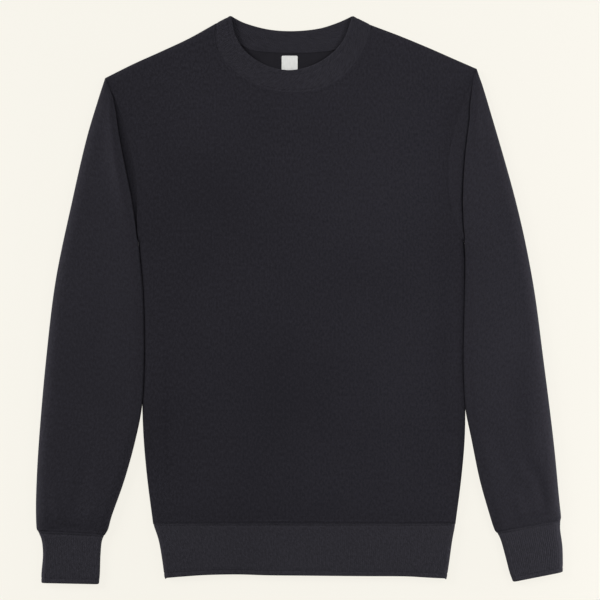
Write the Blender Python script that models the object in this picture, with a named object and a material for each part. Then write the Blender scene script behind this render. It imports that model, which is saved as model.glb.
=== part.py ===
"""Crewneck sweatshirt lying flat on its back: front, back, set-in sleeves, rib bands, label.

Lengths are millimetres until the last step.  The neck points to +Y, the front faces +Z, the
wearer's left is +X, and the underside rests on z = 0 below the middle of the garment.
"""
import bpy
import numpy as np

MM = 0.001

# Cloth
FLEECE = 2.4              # wall of front, back and sleeves
RIB_WALL = 3.0            # doubled rib of neckband, cuffs and hem band
SEAM_GAP = 0.4            # clearance between two pieces along a seam
CORNER_GAP = 0.8          # the same where a seam crosses a fold
BACK_CORNER_GAP = 2.4     # the same at the back's neck corners, under the neckband's fold
BODY_LOFT = 7.4           # height of the front's face above the table
ARM_LOFT = 8.4            # height of a sleeve
BAND_LOFT = 8.8           # height of the rib bands, laid double
RIB_PITCH = 5.0           # one rib and one furrow
RIB_RELIEF = 0.4

# Body: height y, wearer's right side x, wearer's left side x, from hem seam to underarm
BODY_SIDES = (
    (-280.8, -183.8, 195.7),
    (-226.0, -190.9, 202.8),
    (-176.0, -195.5, 207.2),
    (-130.0, -197.3, 208.0),
    (-110.0, -196.2, 206.4),
    (-70.0, -194.5, 204.2),
    (3.0, -195.5, 206.5),
    (73.5, -201.3, 203.8),
)

# Armhole seams, shoulder point to underarm: x, y
ARMHOLE_RIGHT = (
    (-243.9, 277.9),
    (-228.9, 246.5),
    (-216.3, 212.7),
    (-207.0, 175.0),
    (-202.2, 135.0),
    (-203.0, 98.0),
    (-201.3, 73.5),
)
ARMHOLE_LEFT = (
    (223.8, 287.9),
    (208.8, 256.6),
    (196.3, 222.7),
    (188.4, 187.6),
    (186.2, 152.5),
    (188.9, 120.0),
    (195.8, 96.0),
    (203.8, 73.5),
)

# Shoulder fold, shoulder point to neck seam: x, y
SHOULDER_RIGHT = ((-243.9, 277.9), (-208.5, 295.2), (-172.5, 312.6), (-138.0, 328.5), (-105.0, 346.5))
SHOULDER_LEFT = ((223.8, 287.9), (193.5, 301.0), (163.0, 314.5), (127.0, 329.5), (90.3, 344.2))

# Neckband curves, wearer's right to left: x, y
NECK_SEAM_FRONT = (
    (-105.0, 346.5),
    (-104.4, 322.0),
    (-94.5, 300.5),
    (-69.5, 278.5),
    (-38.0, 264.8),
    (-8.0, 261.6),
    (24.0, 265.2),
    (52.0, 279.5),
    (73.5, 302.5),
    (84.5, 324.5),
    (90.3, 344.2),
)
NECK_EDGE_FRONT = (
    (-87.2, 355.6),
    (-77.8, 328.5),
    (-64.0, 309.0),
    (-40.0, 294.0),
    (-12.5, 287.2),
    (15.0, 294.8),
    (38.2, 308.8),
    (54.5, 327.5),
    (67.3, 355.2),
)
NECK_SEAM_BACK = (
    (-105.0, 346.5),
    (-67.5, 316.5),
    (-38.0, 310.8),
    (-8.0, 309.8),
    (22.0, 310.8),
    (50.5, 316.5),
    (90.3, 344.2),
)
NECK_EDGE_BACK = (
    (-87.2, 355.6),
    (-67.5, 343.4),
    (-38.0, 335.8),
    (-7.4, 334.2),
    (24.0, 338.0),
    (48.0, 345.6),
    (67.3, 355.2),
)

# Sleeve folds: outer one from the shoulder point, inner one from the underarm, down to the cuff
OUTER_FOLD_RIGHT = (
    (-243.9, 277.9),
    (-252.8, 250.3),
    (-285.0, 124.9),
    (-305.9, 24.6),
    (-318.1, -75.7),
    (-326.9, -176.1),
    (-330.5, -245.0),
    (-329.6, -287.8),
)
INNER_FOLD_RIGHT = (
    (-201.3, 73.5),
    (-195.5, 3.0),
    (-194.5, -70.0),
    (-197.6, -130.0),
    (-206.3, -176.1),
    (-220.1, -226.2),
    (-236.0, -270.1),
    (-241.6, -289.2),
)
OUTER_FOLD_LEFT = (
    (223.8, 287.9),
    (235.2, 250.3),
    (271.0, 124.9),
    (292.4, 24.6),
    (306.1, -75.7),
    (318.6, -176.1),
    (326.0, -245.0),
    (327.6, -277.0),
)
INNER_FOLD_LEFT = (
    (203.8, 73.5),
    (206.5, 3.0),
    (204.2, -70.0),
    (206.4, -110.0),
    (208.7, -132.0),
    (216.3, -176.1),
    (226.6, -226.2),
    (239.3, -270.1),
    (249.2, -294.6),
)

# Cuffs, seam to end: inner fold x, y, outer fold x, y
CUFF_RIGHT = (
    (-241.6, -289.2, -329.6, -287.8),
    (-247.0, -301.5, -324.0, -300.9),
    (-249.6, -321.0, -321.9, -320.3),
    (-250.4, -344.1, -323.8, -343.6),
    (-251.6, -356.0, -323.8, -355.0),
)
CUFF_LEFT = (
    (249.2, -294.6, 327.6, -277.0),
    (252.6, -301.5, 327.0, -288.0),
    (258.6, -322.0, 329.8, -309.0),
    (263.9, -342.0, 330.4, -328.0),
    (269.0, -354.0, 330.3, -340.0),
)

# Hem band, seam to end: right fold x, y, left fold x, y
HEM_BAND = (
    (-183.8, -280.8, 195.7, -280.8),
    (-176.7, -301.5, 191.6, -301.5),
    (-172.2, -326.5, 188.0, -326.5),
    (-169.3, -348.5, 184.6, -348.5),
)
HEM_ARCH = 3.0            # rise of the hem's lower edge between its corners

# Sleeve set: the fold that runs down beside each armhole seam
CREASE_REACH_RIGHT = 12.6  # widest distance from the seam
CREASE_REACH_LEFT = 20.0
CREASE_FLOOR = 5.2         # height of the valley
CREST_RISE = 0.3           # how much the sleeve stands up beside the valley
CREST_FADE = 16.0
CREASE_MIN = 0.8
CREASE_WALL = 2.8          # half the width of the sleeve's slope out of the valley
WALL_CLIMB = 0.6           # part of the rise that the first half of that slope takes
CREASE_DEEPENS = 2.0       # how fast the valley deepens from either end
NEAR_SHARE = 0.7           # most of a short section that the valley may take

# Sections of a sleeve
CAP_TIP = 16.0            # first section starts this far below the shoulder point
CAP_OUTER_START = 0.8
CAP_OUTER_END = 192.0     # outer fold's run beside the armhole
CAP_ROWS = 9
ARM_ROWS = 10
ARM_COLUMNS = 6
LOFT_ROWS = 4             # sections over which the loft grows from the body's to the sleeve's

# Mesh of front and back
ARMHOLE_COLUMNS = 11
CHEST_COLUMNS = 12
YOKE_ROWS = 7
STRAIGHT_ROWS = 12
YOKE_SIDE_SHARE = 0.38    # part of the neck seam that faces each armhole
SHOULDER_BLEND = 6.0      # columns over which the yoke takes up the shoulder's curve

# Rib bands
BAND_SECTIONS = (0.0, 0.4, 1.0)
BAND_BACK_COLUMNS = 8
NECKBAND_SECTIONS = (0.0, 0.5, 1.0)
NECK_RIBS = 60
NECK_BACK_COLUMNS = 14
NECKBAND_SLOPE = 1.4      # how far the neckband's front sinks from its seam to its edge

# Soft folds of the front: x, y of both ends, half width, height
FRONT_FOLDS = (
    (-165.0, 230.0, -172.0, 20.0, 26.0, -0.9),
    (10.0, -10.0, -6.0, -270.0, 34.0, -1.1),
    (178.0, 40.0, 182.0, -240.0, 14.0, -1.2),
    (-165.0, -60.0, -160.0, -270.0, 11.0, -1.0),
    (95.0, -60.0, 118.0, -270.0, 20.0, 0.8),
    (-90.0, -110.0, -78.0, -270.0, 18.0, 0.6),
    (70.0, 215.0, 120.0, 60.0, 45.0, 0.7),
)

# Label under the back of the neckband
LABEL_X = -12.3
LABEL_TOP = 308.2
LABEL_WIDTH = 22.0
LABEL_LENGTH = 30.0
LABEL_WALL = 0.5
LABEL_CORNER = 3.5

ROLL_ANGLES = np.radians((0.0, 45.0, 90.0))
CORNER_ANGLES = np.radians((0.0, 30.0, 60.0, 90.0))
NEARLY = 0.9              # share of a fold's radius beyond which the cloth counts as level
SHARP_EDGE = np.radians(50.0)


def clear_scene():
    for thing in list(bpy.data.objects):
        bpy.data.objects.remove(thing, do_unlink=True)


def fabric(name, rgb, roughness):
    """A plain cloth material."""
    material = bpy.data.materials.new(name)
    material.use_nodes = True
    shader = material.node_tree.nodes["Principled BSDF"]
    shader.inputs["Base Color"].default_value = (*rgb, 1.0)
    shader.inputs["Roughness"].default_value = roughness
    shader.inputs["Metallic"].default_value = 0.0
    return material


def unit(vectors):
    length = np.linalg.norm(vectors, axis=-1, keepdims=True)
    return vectors / np.maximum(length, 1e-9)


# ---- curves in the plan ----

def curve(points, steps=16):
    """Smooth path through table points (Catmull-Rom)."""
    knots = np.array(points, float)
    ends = np.vstack((2 * knots[0] - knots[1], knots, 2 * knots[-1] - knots[-2]))
    t = np.linspace(0.0, 1.0, steps, endpoint=False)[:, None]
    pieces = []
    for a, b, c, d in zip(ends, ends[1:], ends[2:], ends[3:]):
        slope = (c - a) * t + (2 * a - 5 * b + 4 * c - d) * t ** 2 + (3 * b - a - 3 * c + d) * t ** 3
        pieces.append(b + 0.5 * slope)
    return np.vstack(pieces + [knots[-1:]])


def lengths(path):
    """Distance along a path at each of its points."""
    steps = np.linalg.norm(np.diff(path, axis=0), axis=1)
    return np.concatenate(((0.0,), np.cumsum(steps)))


def at(path, distance):
    """Points of a path at the given distances along it."""
    run = lengths(path)
    return np.column_stack([np.interp(distance, run, path[:, k]) for k in range(path.shape[1])])


def shifted(path, amount):
    """The path moved sideways, to the left of its own direction."""
    along = unit(np.gradient(path, axis=0))
    side = np.column_stack((-along[:, 1], along[:, 0]))
    return path + amount * side


def distance_to(points, path):
    """Shortest distance in the plan from each point to a path."""
    start = path[:-1]
    span = path[1:] - start
    offset = points[..., None, :] - start
    share = np.clip((offset * span).sum(-1) / (span ** 2).sum(-1), 0.0, 1.0)
    nearest = start + share[..., None] * span
    return np.linalg.norm(points[..., None, :] - nearest, axis=-1).min(-1)


def between(total, inner_count, radius):
    """Distances across a piece, closer together where it rolls over at both ends."""
    roll = radius * (1.0 - np.cos(ROLL_ANGLES))
    middle = np.linspace(radius, total - radius, inner_count + 1)[1:-1]
    return np.concatenate((roll, middle, (total - roll)[::-1]))


def rounding(distance, radius):
    """0 at a folded edge, 1 where the cloth is level, along a quarter circle."""
    lean = np.clip(1.0 - distance / radius, 0.0, 1.0)
    return np.sqrt(1.0 - lean ** 2)


# ---- solids ----

def strip_faces(ids):
    """Quads of a grid of vertex numbers; -1 marks a place with no vertex.

    Rows that run to -Y with columns that run to +X give faces that look up.
    """
    quads = np.stack((ids[:-1, :-1], ids[1:, :-1], ids[1:, 1:], ids[:-1, 1:]), axis=-1)
    quads = quads.reshape(-1, 4)
    return quads[(quads >= 0).all(axis=1)]


def border_edges(quads):
    """Edges with a face on one side only, in the direction of that face."""
    edges = np.concatenate([quads[:, [k, (k + 1) % 4]] for k in range(4)])
    known = {tuple(edge) for edge in edges}
    return np.array([edge for edge in edges if (edge[1], edge[0]) not in known])


def wall_directions(points, quads, butted, level):
    """Which way is out of the cloth: straight up or down where it lies level, square to its
    face where it rolls over, and in the seam's own plane along the butted edges."""
    corner = points[quads]
    face = np.cross(corner[:, 2] - corner[:, 0], corner[:, 3] - corner[:, 1])
    normals = np.zeros_like(points)
    for k in range(4):
        np.add.at(normals, quads[:, k], face)
    normals = unit(normals)
    normals[level, :2] = 0.0
    border = border_edges(quads)
    rolled = border[~butted[border].all(axis=1)].ravel()
    normals[rolled[~level[rolled]], 2] = 0.0
    along = np.zeros_like(points)
    for a, b in border:
        if butted[a] and butted[b]:
            step = unit((points[b] - points[a]) * (1.0, 1.0, 0.0))
            for v in (a, b):
                along[v] += step if along[v] @ step >= 0.0 else -step
    across = unit(along)[:, [1, 0, 2]] * (-1.0, 1.0, 0.0)
    normals -= (normals * across).sum(1, keepdims=True) * across
    return unit(normals)


def cloth(name, points, ids, butted, level, wall, material, relief=0.0):
    """A closed solid: the sheet's outer face, its plain inner face one wall below, and the rims."""
    quads = strip_faces(ids)
    outward = wall_directions(points, quads, butted, level)
    count = len(points)
    rims = [(b, a, a + count, b + count) for a, b in border_edges(quads)]
    faces = np.concatenate((quads, quads[:, ::-1] + count, rims))
    outer = points + outward * np.reshape(relief, (-1, 1))
    return solid(name, np.vstack((outer, points - wall * outward)), faces, material)


def solid(name, points, faces, material):
    mesh = bpy.data.meshes.new(name)
    mesh.from_pydata((points * MM).tolist(), [], [list(map(int, face)) for face in faces])
    mesh.validate()
    mesh.shade_smooth()
    mesh.set_sharp_from_angle(angle=SHARP_EDGE)
    mesh.materials.append(material)
    thing = bpy.data.objects.new(name, mesh)
    bpy.context.scene.collection.objects.link(thing)
    return thing


# ---- front and back ----

def folds_height(plan, folds):
    """Sum of soft ridges and troughs, each fading along its line and to both sides."""
    total = np.zeros(plan.shape[:-1])
    for x0, y0, x1, y1, half_width, height in folds:
        line = np.array(((x0, y0), (x1, y1)))
        total += height * np.exp(-(distance_to(plan, line) / half_width) ** 2)
    return total


def side_path(column):
    return curve([(row[column], row[0]) for row in BODY_SIDES])


def rim_runs(total, count, radius):
    """Distances along a seam that starts and ends at a folded edge."""
    roll = radius * (1.0 - np.cos(ROLL_ANGLES))
    return np.concatenate((roll, np.linspace(radius, total - radius, count)[1:], (total,)))


def yoke_rows(neck, armholes, shoulders, chest, radius, corner_gap):
    """Plan points from the neck seam out to the armholes and the chest line."""
    arms = [rim_runs(lengths(armhole)[-1], ARMHOLE_COLUMNS, radius) for armhole in armholes]
    right_arm, left_arm = (at(armhole, runs)[:-1] for armhole, runs in zip(armholes, arms))
    rim = np.vstack((right_arm, chest, left_arm[::-1]))

    neck_length = lengths(neck)[-1]
    side = rim_runs(YOKE_SIDE_SHARE * neck_length, ARMHOLE_COLUMNS, radius)[:-1]
    middle = np.linalg.norm(chest - chest[0], axis=1) / np.linalg.norm(chest[-1] - chest[0])
    middle = neck_length * (YOKE_SIDE_SHARE + (1.0 - 2.0 * YOKE_SIDE_SHARE) * middle)
    collar = at(neck, np.concatenate((side, middle, neck_length - side[::-1])))

    reach = np.linalg.norm(rim - collar, axis=1)[None, :]
    even = np.linspace(0.0, 1.0, YOKE_ROWS)[:-1, None] + 0.0 * reach
    down = np.vstack((even, 1.0 - radius / reach, np.ones_like(reach)))[..., None]
    rows = collar + (rim - collar) * down
    # near its ends the yoke follows the shoulder folds
    columns = np.arange(len(rim))[None, :, None]
    for end, shoulder in ((0, shoulders[0]), (-1, shoulders[1])):
        run = corner_gap + down[:, end, 0] * (lengths(shoulder)[-1] - corner_gap)
        fold = at(shoulder[::-1], run)[:, None]
        away = columns if end == 0 else columns[:, ::-1]
        rows = rows + np.exp(-(away / SHOULDER_BLEND) ** 2) * (fold - rows[:, [end]])
    return rows, len(right_arm)


def panel(name, neck_seam, is_front, material):
    """Front or back: a yoke from neck to armholes and chest, and a straight part down to the hem."""
    radius = BODY_LOFT / 2
    sides = side_path(1), side_path(2)
    armholes = curve(ARMHOLE_RIGHT), curve(ARMHOLE_LEFT)
    shoulders = curve(SHOULDER_RIGHT), curve(SHOULDER_LEFT)
    neck = shifted(curve(neck_seam), -SEAM_GAP / 2)

    heights = np.linspace(sides[0][-1, 1], sides[0][0, 1] + SEAM_GAP / 2, STRAIGHT_ROWS)
    rows = []
    for y in heights:
        x_right, x_left = (np.interp(y, side[:, 1], side[:, 0]) for side in sides)
        x = x_right + between(x_left - x_right, CHEST_COLUMNS, radius)
        rows.append(np.column_stack((x, np.full(len(x), y))))
    corner_gap = CORNER_GAP if is_front else BACK_CORNER_GAP
    yoke, start = yoke_rows(neck, armholes, shoulders, rows[0], radius, corner_gap)
    stop = start + len(rows[0])

    grid = np.full((len(yoke) + len(rows) - 1, yoke.shape[1], 2), np.nan)
    grid[:len(yoke)] = yoke
    grid[len(yoke):, start:stop] = rows[1:]
    present = ~np.isnan(grid[..., 0])
    ids = np.where(present, np.cumsum(present).reshape(present.shape) - 1, -1)
    plan = grid[present]

    butted = np.zeros(present.shape, bool)
    butted[[0, -1]] = True
    butted[len(yoke) - 1, :start] = True
    butted[len(yoke) - 1, stop:] = True

    fold = np.min([distance_to(plan, path) for path in sides + shoulders], axis=0)
    lift = rounding(fold, radius)
    if is_front:
        low = radius + SEAM_GAP / 2
        height = low + (BODY_LOFT + folds_height(plan, FRONT_FOLDS) - low) * lift
    else:
        height = (radius - SEAM_GAP / 2) * (1.0 - lift)
        ids = ids[:, ::-1]
    points = np.column_stack((plan, height))
    return cloth(name, points, ids, butted[present], fold > NEARLY * radius, FLEECE, material)


# ---- sleeves ----

def sleeve_section(width, share, reach, loft, opened, slant):
    """Distances and heights round one section: the upper layer out from the body, then the
    lower layer back.  An open section starts on the armhole seam and has the valley beside it.
    slant: sine of the angle at which the section meets the outer fold."""
    radius = loft / 2
    roll = radius * (1.0 - np.cos(ROLL_ANGLES))
    swell = np.sin(np.pi * share)
    if opened:
        valley = CREASE_MIN + reach * swell
        floor = BODY_LOFT - (BODY_LOFT - CREASE_FLOOR) * min(1.0, CREASE_DEEPENS * swell)
        crest = loft + CREST_RISE * swell
        near = np.array((0.0, 0.5 * valley, valley, valley + CREASE_WALL, valley + 2 * CREASE_WALL))
        halfway_down = (BODY_LOFT + floor) / 2
        halfway_out = floor + WALL_CLIMB * (crest - floor)
        near_height = np.array((BODY_LOFT, halfway_down, floor, halfway_out, crest))
    else:
        crest = loft
        near = np.append(roll, (radius + CREASE_WALL, radius + 2 * CREASE_WALL))
        near_height = radius * (1.0 + rounding(near, radius))
    near *= min(1.0, NEAR_SHARE * (width - radius / slant) / near[-1])
    far = width - roll[::-1] / slant
    top = np.concatenate((near, np.linspace(near[-1], far[0], ARM_COLUMNS + 1)[1:-1], far))
    rise = radius + (crest - loft) * np.exp(-(top - near[-1]) / CREST_FADE)
    top_height = radius + rise * rounding((width - top) * slant, radius)
    top_height[:len(near)] = near_height
    under = np.concatenate((far[-2::-1], np.linspace(far[0], radius, ARM_COLUMNS)[1:-1], roll[::-1]))
    from_fold = (width - under) * slant
    if not opened:
        from_fold = np.minimum(under, from_fold)
    under_height = radius * (1.0 - rounding(from_fold, radius))
    around = np.concatenate((top, under))
    folded = ((width - around) * slant < NEARLY * radius) | ((around < NEARLY * radius) & (not opened))
    return around, np.concatenate((top_height, under_height)), ~folded


def sleeve(name, armhole, outer, inner, crease_reach, side, material):
    """A flattened tube.  Beside the armhole it is open, with its upper layer sewn to the front
    and its lower layer to the back; below the underarm it is closed.  side: -1 wearer's right."""
    seam = shifted(curve(armhole), side * SEAM_GAP)
    inner_fold = shifted(curve(inner), side * SEAM_GAP)
    outer_fold = curve(outer)
    seam_length = lengths(seam)[-1]

    cap_runs = np.append(np.linspace(CAP_TIP, seam_length - ARM_LOFT / 2, CAP_ROWS), seam_length)
    cap_outer = np.linspace(CAP_OUTER_START, CAP_OUTER_END, len(cap_runs))
    arm = np.linspace(0.0, 1.0, ARM_ROWS + 1)[1:]
    arm_outer = CAP_OUTER_END + arm * (lengths(outer_fold)[-1] - CAP_OUTER_END)
    starts = np.vstack((at(seam, cap_runs), at(inner_fold, arm * lengths(inner_fold)[-1])))
    stops = at(outer_fold, np.concatenate((cap_outer, arm_outer)))
    is_open = np.arange(len(starts)) < CAP_ROWS
    across = unit(stops - starts)
    along = unit(np.gradient(stops, axis=0))
    slants = np.abs(across[:, 0] * along[:, 1] - across[:, 1] * along[:, 0])

    points, level = [], []
    for row, (start, stop) in enumerate(zip(starts, stops)):
        width = np.linalg.norm(stop - start)
        share = min(1.0, cap_runs[min(row, CAP_ROWS)] / seam_length)
        loft = BODY_LOFT + (ARM_LOFT - BODY_LOFT) * min(1.0, row / LOFT_ROWS)
        around, height, flat = sleeve_section(width, share, crease_reach, loft, is_open[row], slants[row])
        plan = start + around[:, None] * (stop - start) / width
        points.append(np.column_stack((plan, height)))
        level.append(flat)

    points = np.array(points)
    rows, columns = points.shape[:2]
    ids = np.arange(rows * columns).reshape(rows, columns)
    ids[~is_open, -1] = ids[~is_open, 0]
    butted = np.zeros((rows, columns), bool)
    butted[[0, -1]] = True
    butted[is_open, 0] = True
    butted[is_open, -1] = True
    if side < 0:
        ids = ids[:, ::-1]
    # the closed sections name their first point twice, so their last one is dropped
    kept = np.unique(ids)
    ids = np.searchsorted(kept, ids)
    return cloth(name, points.reshape(-1, 3)[kept], ids, butted.ravel()[kept],
                 np.ravel(level)[kept], FLEECE, material)


# ---- rib bands ----

def band(name, front, back, folds, levels, side, material):
    """A flattened ring of rib.  front, back: plan points of its two layers, row by row, which
    share their first and last points; levels: height of the upper face along each row."""
    radius = BAND_LOFT / 2
    front_fold = np.min([distance_to(front, fold) for fold in folds], axis=0)
    back_fold = np.min([distance_to(back, fold) for fold in folds], axis=0)
    front_height = radius + (levels[:, None] - radius) * rounding(front_fold, radius)
    back_height = radius * (1.0 - rounding(back_fold, radius))
    ridge = (np.arange(front.shape[1]) % 2) * (front_fold > NEARLY * radius)
    around = [np.dstack((front, front_height)), np.dstack((back, back_height))[:, -2:0:-1]]
    around = np.concatenate(around, axis=1)
    level = np.hstack((front_fold, back_fold[:, -2:0:-1])) > NEARLY * radius
    relief = np.zeros(around.shape[:2])
    relief[:, :front.shape[1]] = RIB_RELIEF * ridge
    rows, columns = around.shape[:2]
    ids = np.arange(rows * columns).reshape(rows, columns)
    ids = np.hstack((ids, ids[:, :1]))
    butted = np.zeros((rows, columns), bool)
    butted[[0, -1]] = True
    if side < 0:
        ids = ids[:, ::-1]
    return cloth(name, around.reshape(-1, 3), ids, butted.ravel(), level.ravel(), RIB_WALL, material,
                 relief.ravel())


def straight_band(name, sections, arch, side, material):
    """Hem band or cuff.  sections: both folds' x, y from the seam to the open end."""
    sections = np.array(sections)
    start, stop = curve(sections[:, :2]), curve(sections[:, 2:])
    down = np.array(BAND_SECTIONS)
    starts = at(start, down * lengths(start)[-1])
    stops = at(stop, down * lengths(stop)[-1])
    starts[0] += unit(starts[1] - starts[0]) * SEAM_GAP
    stops[0] += unit(stops[1] - stops[0]) * SEAM_GAP
    width = np.linalg.norm(stops[-1] - starts[-1])
    layers = []
    for count in (2 * round(width / RIB_PITCH), BAND_BACK_COLUMNS):
        share = between(1.0, count, BAND_LOFT / 2 / width)
        layer = starts[:, None] + (stops - starts)[:, None] * share[:, None]
        layer[..., 1] += arch * down[:, None] * (1.0 - (2.0 * share - 1.0) ** 2)
        layers.append(layer)
    return band(name, *layers, (starts, stops), np.full(len(down), BAND_LOFT), side, material)


def neckband(name, material):
    """The ring of rib round the neck, its front layer lower down than its back one."""
    down = np.array(NECKBAND_SECTIONS)
    layers = []
    for seam, edge, count in (
            (NECK_SEAM_FRONT, NECK_EDGE_FRONT, 2 * NECK_RIBS),
            (NECK_SEAM_BACK, NECK_EDGE_BACK, NECK_BACK_COLUMNS)):
        ends = []
        for path in (shifted(curve(seam), SEAM_GAP), curve(edge)):
            run = between(1.0, count, BAND_LOFT / 2 / lengths(path)[-1]) * lengths(path)[-1]
            ends.append(at(path, run))
        layers.append(ends[0] + (ends[1] - ends[0]) * down[:, None, None])
    front, back = layers
    front[0, [0, -1]] += CORNER_GAP * unit(front[1, [0, -1]] - front[0, [0, -1]])
    back[:, [0, -1]] = front[:, [0, -1]]
    levels = BAND_LOFT - NECKBAND_SLOPE * down
    return band(name, front, back, (front[:, 0], front[:, -1]), levels, -1, material)


# ---- label ----

def label(name, material):
    """A blank tab with round corners, one gap above the inner face of the back."""
    half = LABEL_WIDTH / 2 - LABEL_CORNER
    length = LABEL_LENGTH / 2 - LABEL_CORNER
    outline = []
    centres = ((half, length), (-half, length), (-half, -length), (half, -length))
    for quarter, centre in enumerate(centres):
        angle = CORNER_ANGLES + quarter * np.pi / 2
        arc = LABEL_CORNER * np.column_stack((np.cos(angle), np.sin(angle)))
        outline.append(centre + arc)
    outline = np.vstack(outline) + (LABEL_X, LABEL_TOP - LABEL_LENGTH / 2)
    count = len(outline)
    low = FLEECE + SEAM_GAP
    points = np.vstack([np.column_stack((outline, np.full(count, z))) for z in (low, low + LABEL_WALL)])
    ring = list(range(count))
    faces = [ring[::-1], [k + count for k in ring]]
    faces += [(k, (k + 1) % count, (k + 1) % count + count, k + count) for k in ring]
    return solid(name, points, faces, material)


def main():
    clear_scene()
    body = fabric("fleece", (0.022, 0.021, 0.026), 0.95)
    rib = fabric("rib", (0.026, 0.025, 0.031), 0.95)
    tape = fabric("label tape", (0.80, 0.80, 0.78), 0.8)
    panel("front", NECK_SEAM_FRONT, True, body)
    panel("back", NECK_SEAM_BACK, False, body)
    sleeve("sleeve_right", ARMHOLE_RIGHT, OUTER_FOLD_RIGHT, INNER_FOLD_RIGHT, CREASE_REACH_RIGHT, -1, body)
    sleeve("sleeve_left", ARMHOLE_LEFT, OUTER_FOLD_LEFT, INNER_FOLD_LEFT, CREASE_REACH_LEFT, 1, body)
    straight_band("cuff_right", CUFF_RIGHT, 0.0, -1, rib)
    straight_band("cuff_left", CUFF_LEFT, 0.0, 1, rib)
    straight_band("hem_band", HEM_BAND, HEM_ARCH, 1, rib)
    neckband("neckband", rib)
    label("neck_label", tape)


main()
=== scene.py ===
# %% [markdown]
# # A crewneck sweatshirt, laid flat
# The sweatshirt lies on its back on a pale table.  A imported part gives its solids: front, back,
# two sleeves, two cuffs, a hem band, a neckband and a label.  This lesson dresses them.  Every
# piece of cloth is made again as a finer grid of points on the same cut, with its seams, ribs
# and creases, and then gets a knitted finish.  The part itself is loaded first and never changed.

import bpy
import numpy as np
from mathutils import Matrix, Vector


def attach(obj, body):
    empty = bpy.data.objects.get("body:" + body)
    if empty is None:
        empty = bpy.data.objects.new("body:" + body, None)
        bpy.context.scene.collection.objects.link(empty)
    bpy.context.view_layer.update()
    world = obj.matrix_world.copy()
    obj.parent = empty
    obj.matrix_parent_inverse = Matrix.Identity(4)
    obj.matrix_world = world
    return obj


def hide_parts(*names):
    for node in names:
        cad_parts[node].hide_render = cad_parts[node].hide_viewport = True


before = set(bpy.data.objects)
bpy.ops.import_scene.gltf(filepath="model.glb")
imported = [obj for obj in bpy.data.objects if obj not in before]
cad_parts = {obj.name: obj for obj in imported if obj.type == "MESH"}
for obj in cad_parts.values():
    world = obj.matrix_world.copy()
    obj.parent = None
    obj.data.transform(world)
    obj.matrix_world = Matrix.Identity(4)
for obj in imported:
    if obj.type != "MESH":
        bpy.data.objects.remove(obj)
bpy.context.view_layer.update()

# %% [markdown]
# ## The camera
# A garment laid flat is looked at from straight above, so the camera hangs over the table and
# looks down.  A long lens keeps the sides of the cloth from leaning outwards, and the camera
# hangs just as high as it needs to for the whole garment, with a margin, to fill the frame.

# %% Camera
CAMERA_PLACE = (0.0006, -0.0005, 2.095)
LENS, FILM = 100.0, 36.0

bpy.ops.object.select_all(action="DESELECT")
bpy.ops.object.camera_add(location=CAMERA_PLACE, rotation=(0.0, 0.0, 0.0))
camera = bpy.context.object
camera.data.lens = LENS
camera.data.sensor_width = FILM
camera.data.dof.use_dof = False
bpy.context.scene.camera = camera
print("The frame is", round(CAMERA_PLACE[2] * FILM / LENS, 3), "m wide on the table")

# %% [markdown]
# ## Colours and shader nodes
# Colours are given as sRGB hex values, the way a paint program shows them, and shaders want
# them linear, so one function turns them.  A second small function adds a shader node together
# with its settings and links, which keeps each finish below short enough to read as a list.
# Every cloth here is a colour between two tones of dye and a bump, so one function leads both
# into the shader.  A texture's scale says how often it repeats in a metre, and is worked out
# from the size of one tuft or thread in millimetres.

# %% Helpers for finishes
MM = 0.001


def linear(hex_colour):
    """An sRGB hex colour as linear red, green, blue and alpha."""
    channels = [int(hex_colour[k:k + 2], 16) / 255 for k in (0, 2, 4)]
    return [c / 12.92 if c <= 0.04045 else ((c + 0.055) / 1.055) ** 2.4 for c in channels] + [1.0]


def add_node(tree, kind, settings=(), links=(), output=0):
    """Adds a node and gives one of its outputs.  kind: its type, without ShaderNode; settings: its
    own properties or its sockets' values, by name or number; links: what leads to its sockets."""
    node = tree.nodes.new("ShaderNode" + kind)
    for key, value in dict(settings).items():
        if isinstance(key, int) or key in node.inputs:
            node.inputs[key].default_value = value
        else:
            setattr(node, key, value)
    for key, source in dict(links).items():
        tree.links.new(source, node.inputs[key])
    return node.outputs[output]


def new_finish(name, settings):
    """A finish with its shader's own settings: its material, node tree and shader."""
    material = bpy.data.materials.new(name)
    material.use_nodes = True
    shader = material.node_tree.nodes["Principled BSDF"]
    for socket, value in settings.items():
        shader.inputs[socket].default_value = value
    return material, material.node_tree, shader


def lead_in(shader, tones, share, relief, strength, depth):
    """Leads a colour between two tones and a bump into the shader.  share: the output that mixes
    the tones; relief: the output that raises the bump; depth: its height in millimetres."""
    tree = shader.id_data
    dark, light = (linear(tone) for tone in tones)
    colour = add_node(tree, "Mix", {"data_type": "RGBA", 6: dark, 7: light}, {0: share}, 2)
    bump = add_node(tree, "Bump", {"Strength": strength, "Distance": depth * MM}, {"Height": relief})
    tree.links.new(colour, shader.inputs["Base Color"])
    tree.links.new(bump, shader.inputs["Normal"])


def per_metre(size):
    """How often something of a size in millimetres repeats in a metre."""
    return 1 / (size * MM)


print("The darkest and the lightest grey of the cloth:", linear("1A191D")[0], linear("313036")[0])

# %% [markdown]
# ## The table and the light
# Dark cloth shows its form only through soft differences in light.  Half of the light comes evenly
# from a pale room, and most of the rest from one wide lamp high at the wearer's right, so each
# slope that faces the other way darkens.  A lamp above the left shoulder, a low strip lamp beside
# each sleeve and a small one beside the left cuff brighten the outer slopes there.  The table
# glows, as a light table does, which keeps it plain and its shadows faint.

# %% Table
TABLE_WIDTH = 8.0             # in metres: wide enough to fill any view
TABLE_DROP = 0.4              # the table lies a hair under the cloth, in millimetres
TABLE_GLOW = 0.91

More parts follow.
